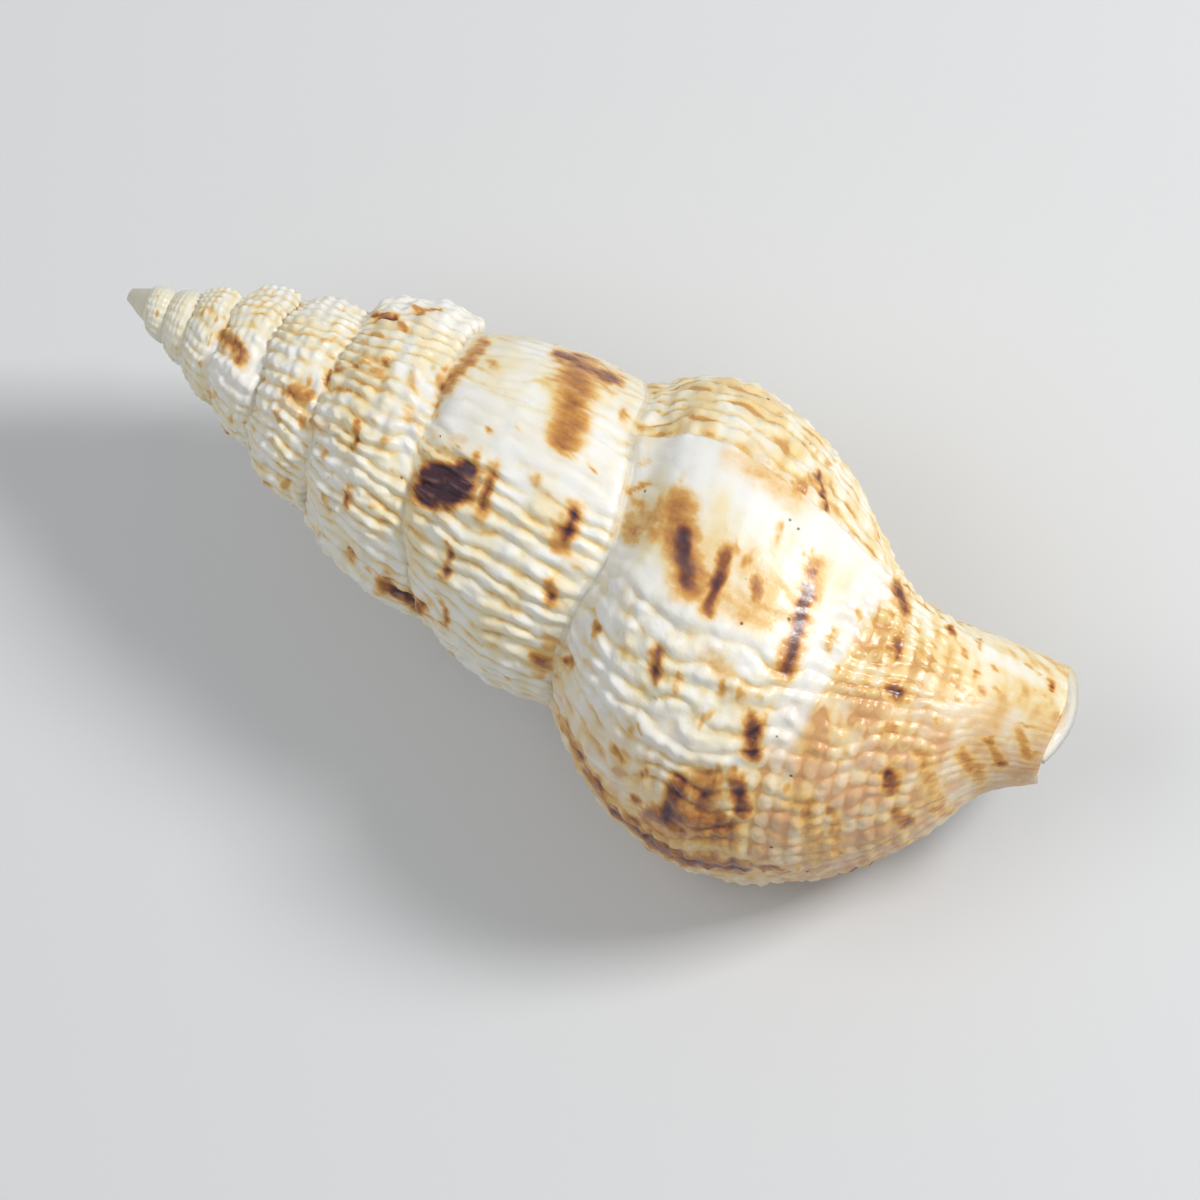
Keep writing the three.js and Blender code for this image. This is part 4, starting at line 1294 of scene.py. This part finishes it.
def make_shell():
    skin = Skin()
    skin.measure()
    outside, inside = shell_material(), inside_material()
    made = mesh_object("shell_looks", skin.position, skin.faces)
    mesh = made.data
    for name, values in skin_attributes(skin).items():
        add_attribute(mesh, name, values)
    mesh.materials.append(outside)
    apply_relief(made, outside)
    boolean(made, hollow_cutter(inside), "DIFFERENCE")
    boolean(made, trough_cutter(inside), "DIFFERENCE")
    boolean(made, bore_cutter(inside), "DIFFERENCE")
    for station in TOOTH_STATIONS:
        boolean(made, tooth(station, inside), "UNION")
    made.data.transform(LIE)
    floor_cut(made, outside)
    made.data.polygons.foreach_set("use_smooth", [True] * len(made.data.polygons))
    return made


def floor_cut(made, material):
    """Takes off what would reach below the table."""
    mesh = bpy.data.meshes.new("table")
    box = bmesh.new()
    middle = Matrix.Translation((0, 0, -TABLE / 2))
    bmesh.ops.create_cube(box, size=TABLE, matrix=middle)
    box.to_mesh(mesh)
    box.free()
    mesh.materials.append(material)
    table = bpy.data.objects.new("table", mesh)
    bpy.context.scene.collection.objects.link(table)
    boolean(made, table, "DIFFERENCE")


def make_camera():
    """Looks down the same way as the photograph, with the tip at the upper left."""
    turn = np.array(LIE)[:3, :3] / MM
    eye = turn @ np.array([math.sin(VIEW_TIP), 0, math.cos(VIEW_TIP)])
    along = turn @ np.array([math.cos(VIEW_TIP), 0, -math.sin(VIEW_TIP)])
    up_side = turn @ np.array([0, 1, 0])
    right = along * math.cos(VIEW_TURN) + up_side * math.sin(VIEW_TURN)
    up = -along * math.sin(VIEW_TURN) + up_side * math.cos(VIEW_TURN)
    target = laid(np.array([VIEW_TARGET]))[0]
    distance = VIEW_WIDTH * MM * LENS / SENSOR
    data = bpy.data.cameras.new("camera")
    data.lens, data.sensor_width = LENS, SENSOR
    data.clip_start, data.clip_end = CLIP_METRES
    camera = bpy.data.objects.new("camera", data)
    bpy.context.scene.collection.objects.link(camera)
    matrix = np.eye(4)
    matrix[:3, 0], matrix[:3, 1], matrix[:3, 2] = right, up, eye
    matrix[:3, 3] = target + eye * distance
    camera.matrix_world = Matrix(matrix.tolist())
    bpy.context.scene.camera = camera
    return right, up, eye, target


def make_floor():
    mesh = bpy.data.meshes.new("floor")
    plane = bmesh.new()
    bmesh.ops.create_grid(plane, x_segments=1, y_segments=1, size=FLOOR_METRES)
    plane.to_mesh(mesh)
    plane.free()
    floor = bpy.data.objects.new("floor", mesh)
    bpy.context.scene.collection.objects.link(floor)
    material = bpy.data.materials.new("floor")
    material.use_nodes = True
    surface = material.node_tree.nodes["Principled BSDF"]
    surface.inputs["Base Color"].default_value = (*FLOOR_GREY, 1)
    surface.inputs["Roughness"].default_value = FLOOR_ROUGHNESS
    mesh.materials.append(material)


def make_light(name, spot, target, size, power):
    """A square light that shines at the target."""
    data = bpy.data.lights.new(name, "AREA")
    data.size, data.energy = size, power
    light = bpy.data.objects.new(name, data)
    bpy.context.scene.collection.objects.link(light)
    light.location = spot
    aim = Vector(target) - Vector(spot)
    light.rotation_euler = aim.to_track_quat("-Z", "Y").to_euler()


def make_lights(right, up, eye, target):
    for name, (offset, size, power) in (("key", KEY_LIGHT), ("fill", FILL_LIGHT)):
        spot = target + offset[0] * right + offset[1] * up + offset[2] * eye
        make_light(name, spot, target, size, power)
    world = bpy.data.worlds.new("world")
    bpy.context.scene.world = world
    world.use_nodes = True
    background = world.node_tree.nodes["Background"]
    background.inputs["Color"].default_value = (*SKY_COLOUR, 1)
    background.inputs["Strength"].default_value = SKY_STRENGTH


def show_as_photographed():
    view = bpy.context.scene.view_settings
    view.view_transform = "Standard"
    view.look = "None"


right, up, eye, target = make_camera()
make_floor()
make_lights(right, up, eye, target)
show_as_photographed()
shell = make_shell()
shell.name = "shell_surface"
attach(shell, "root")
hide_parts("shell")
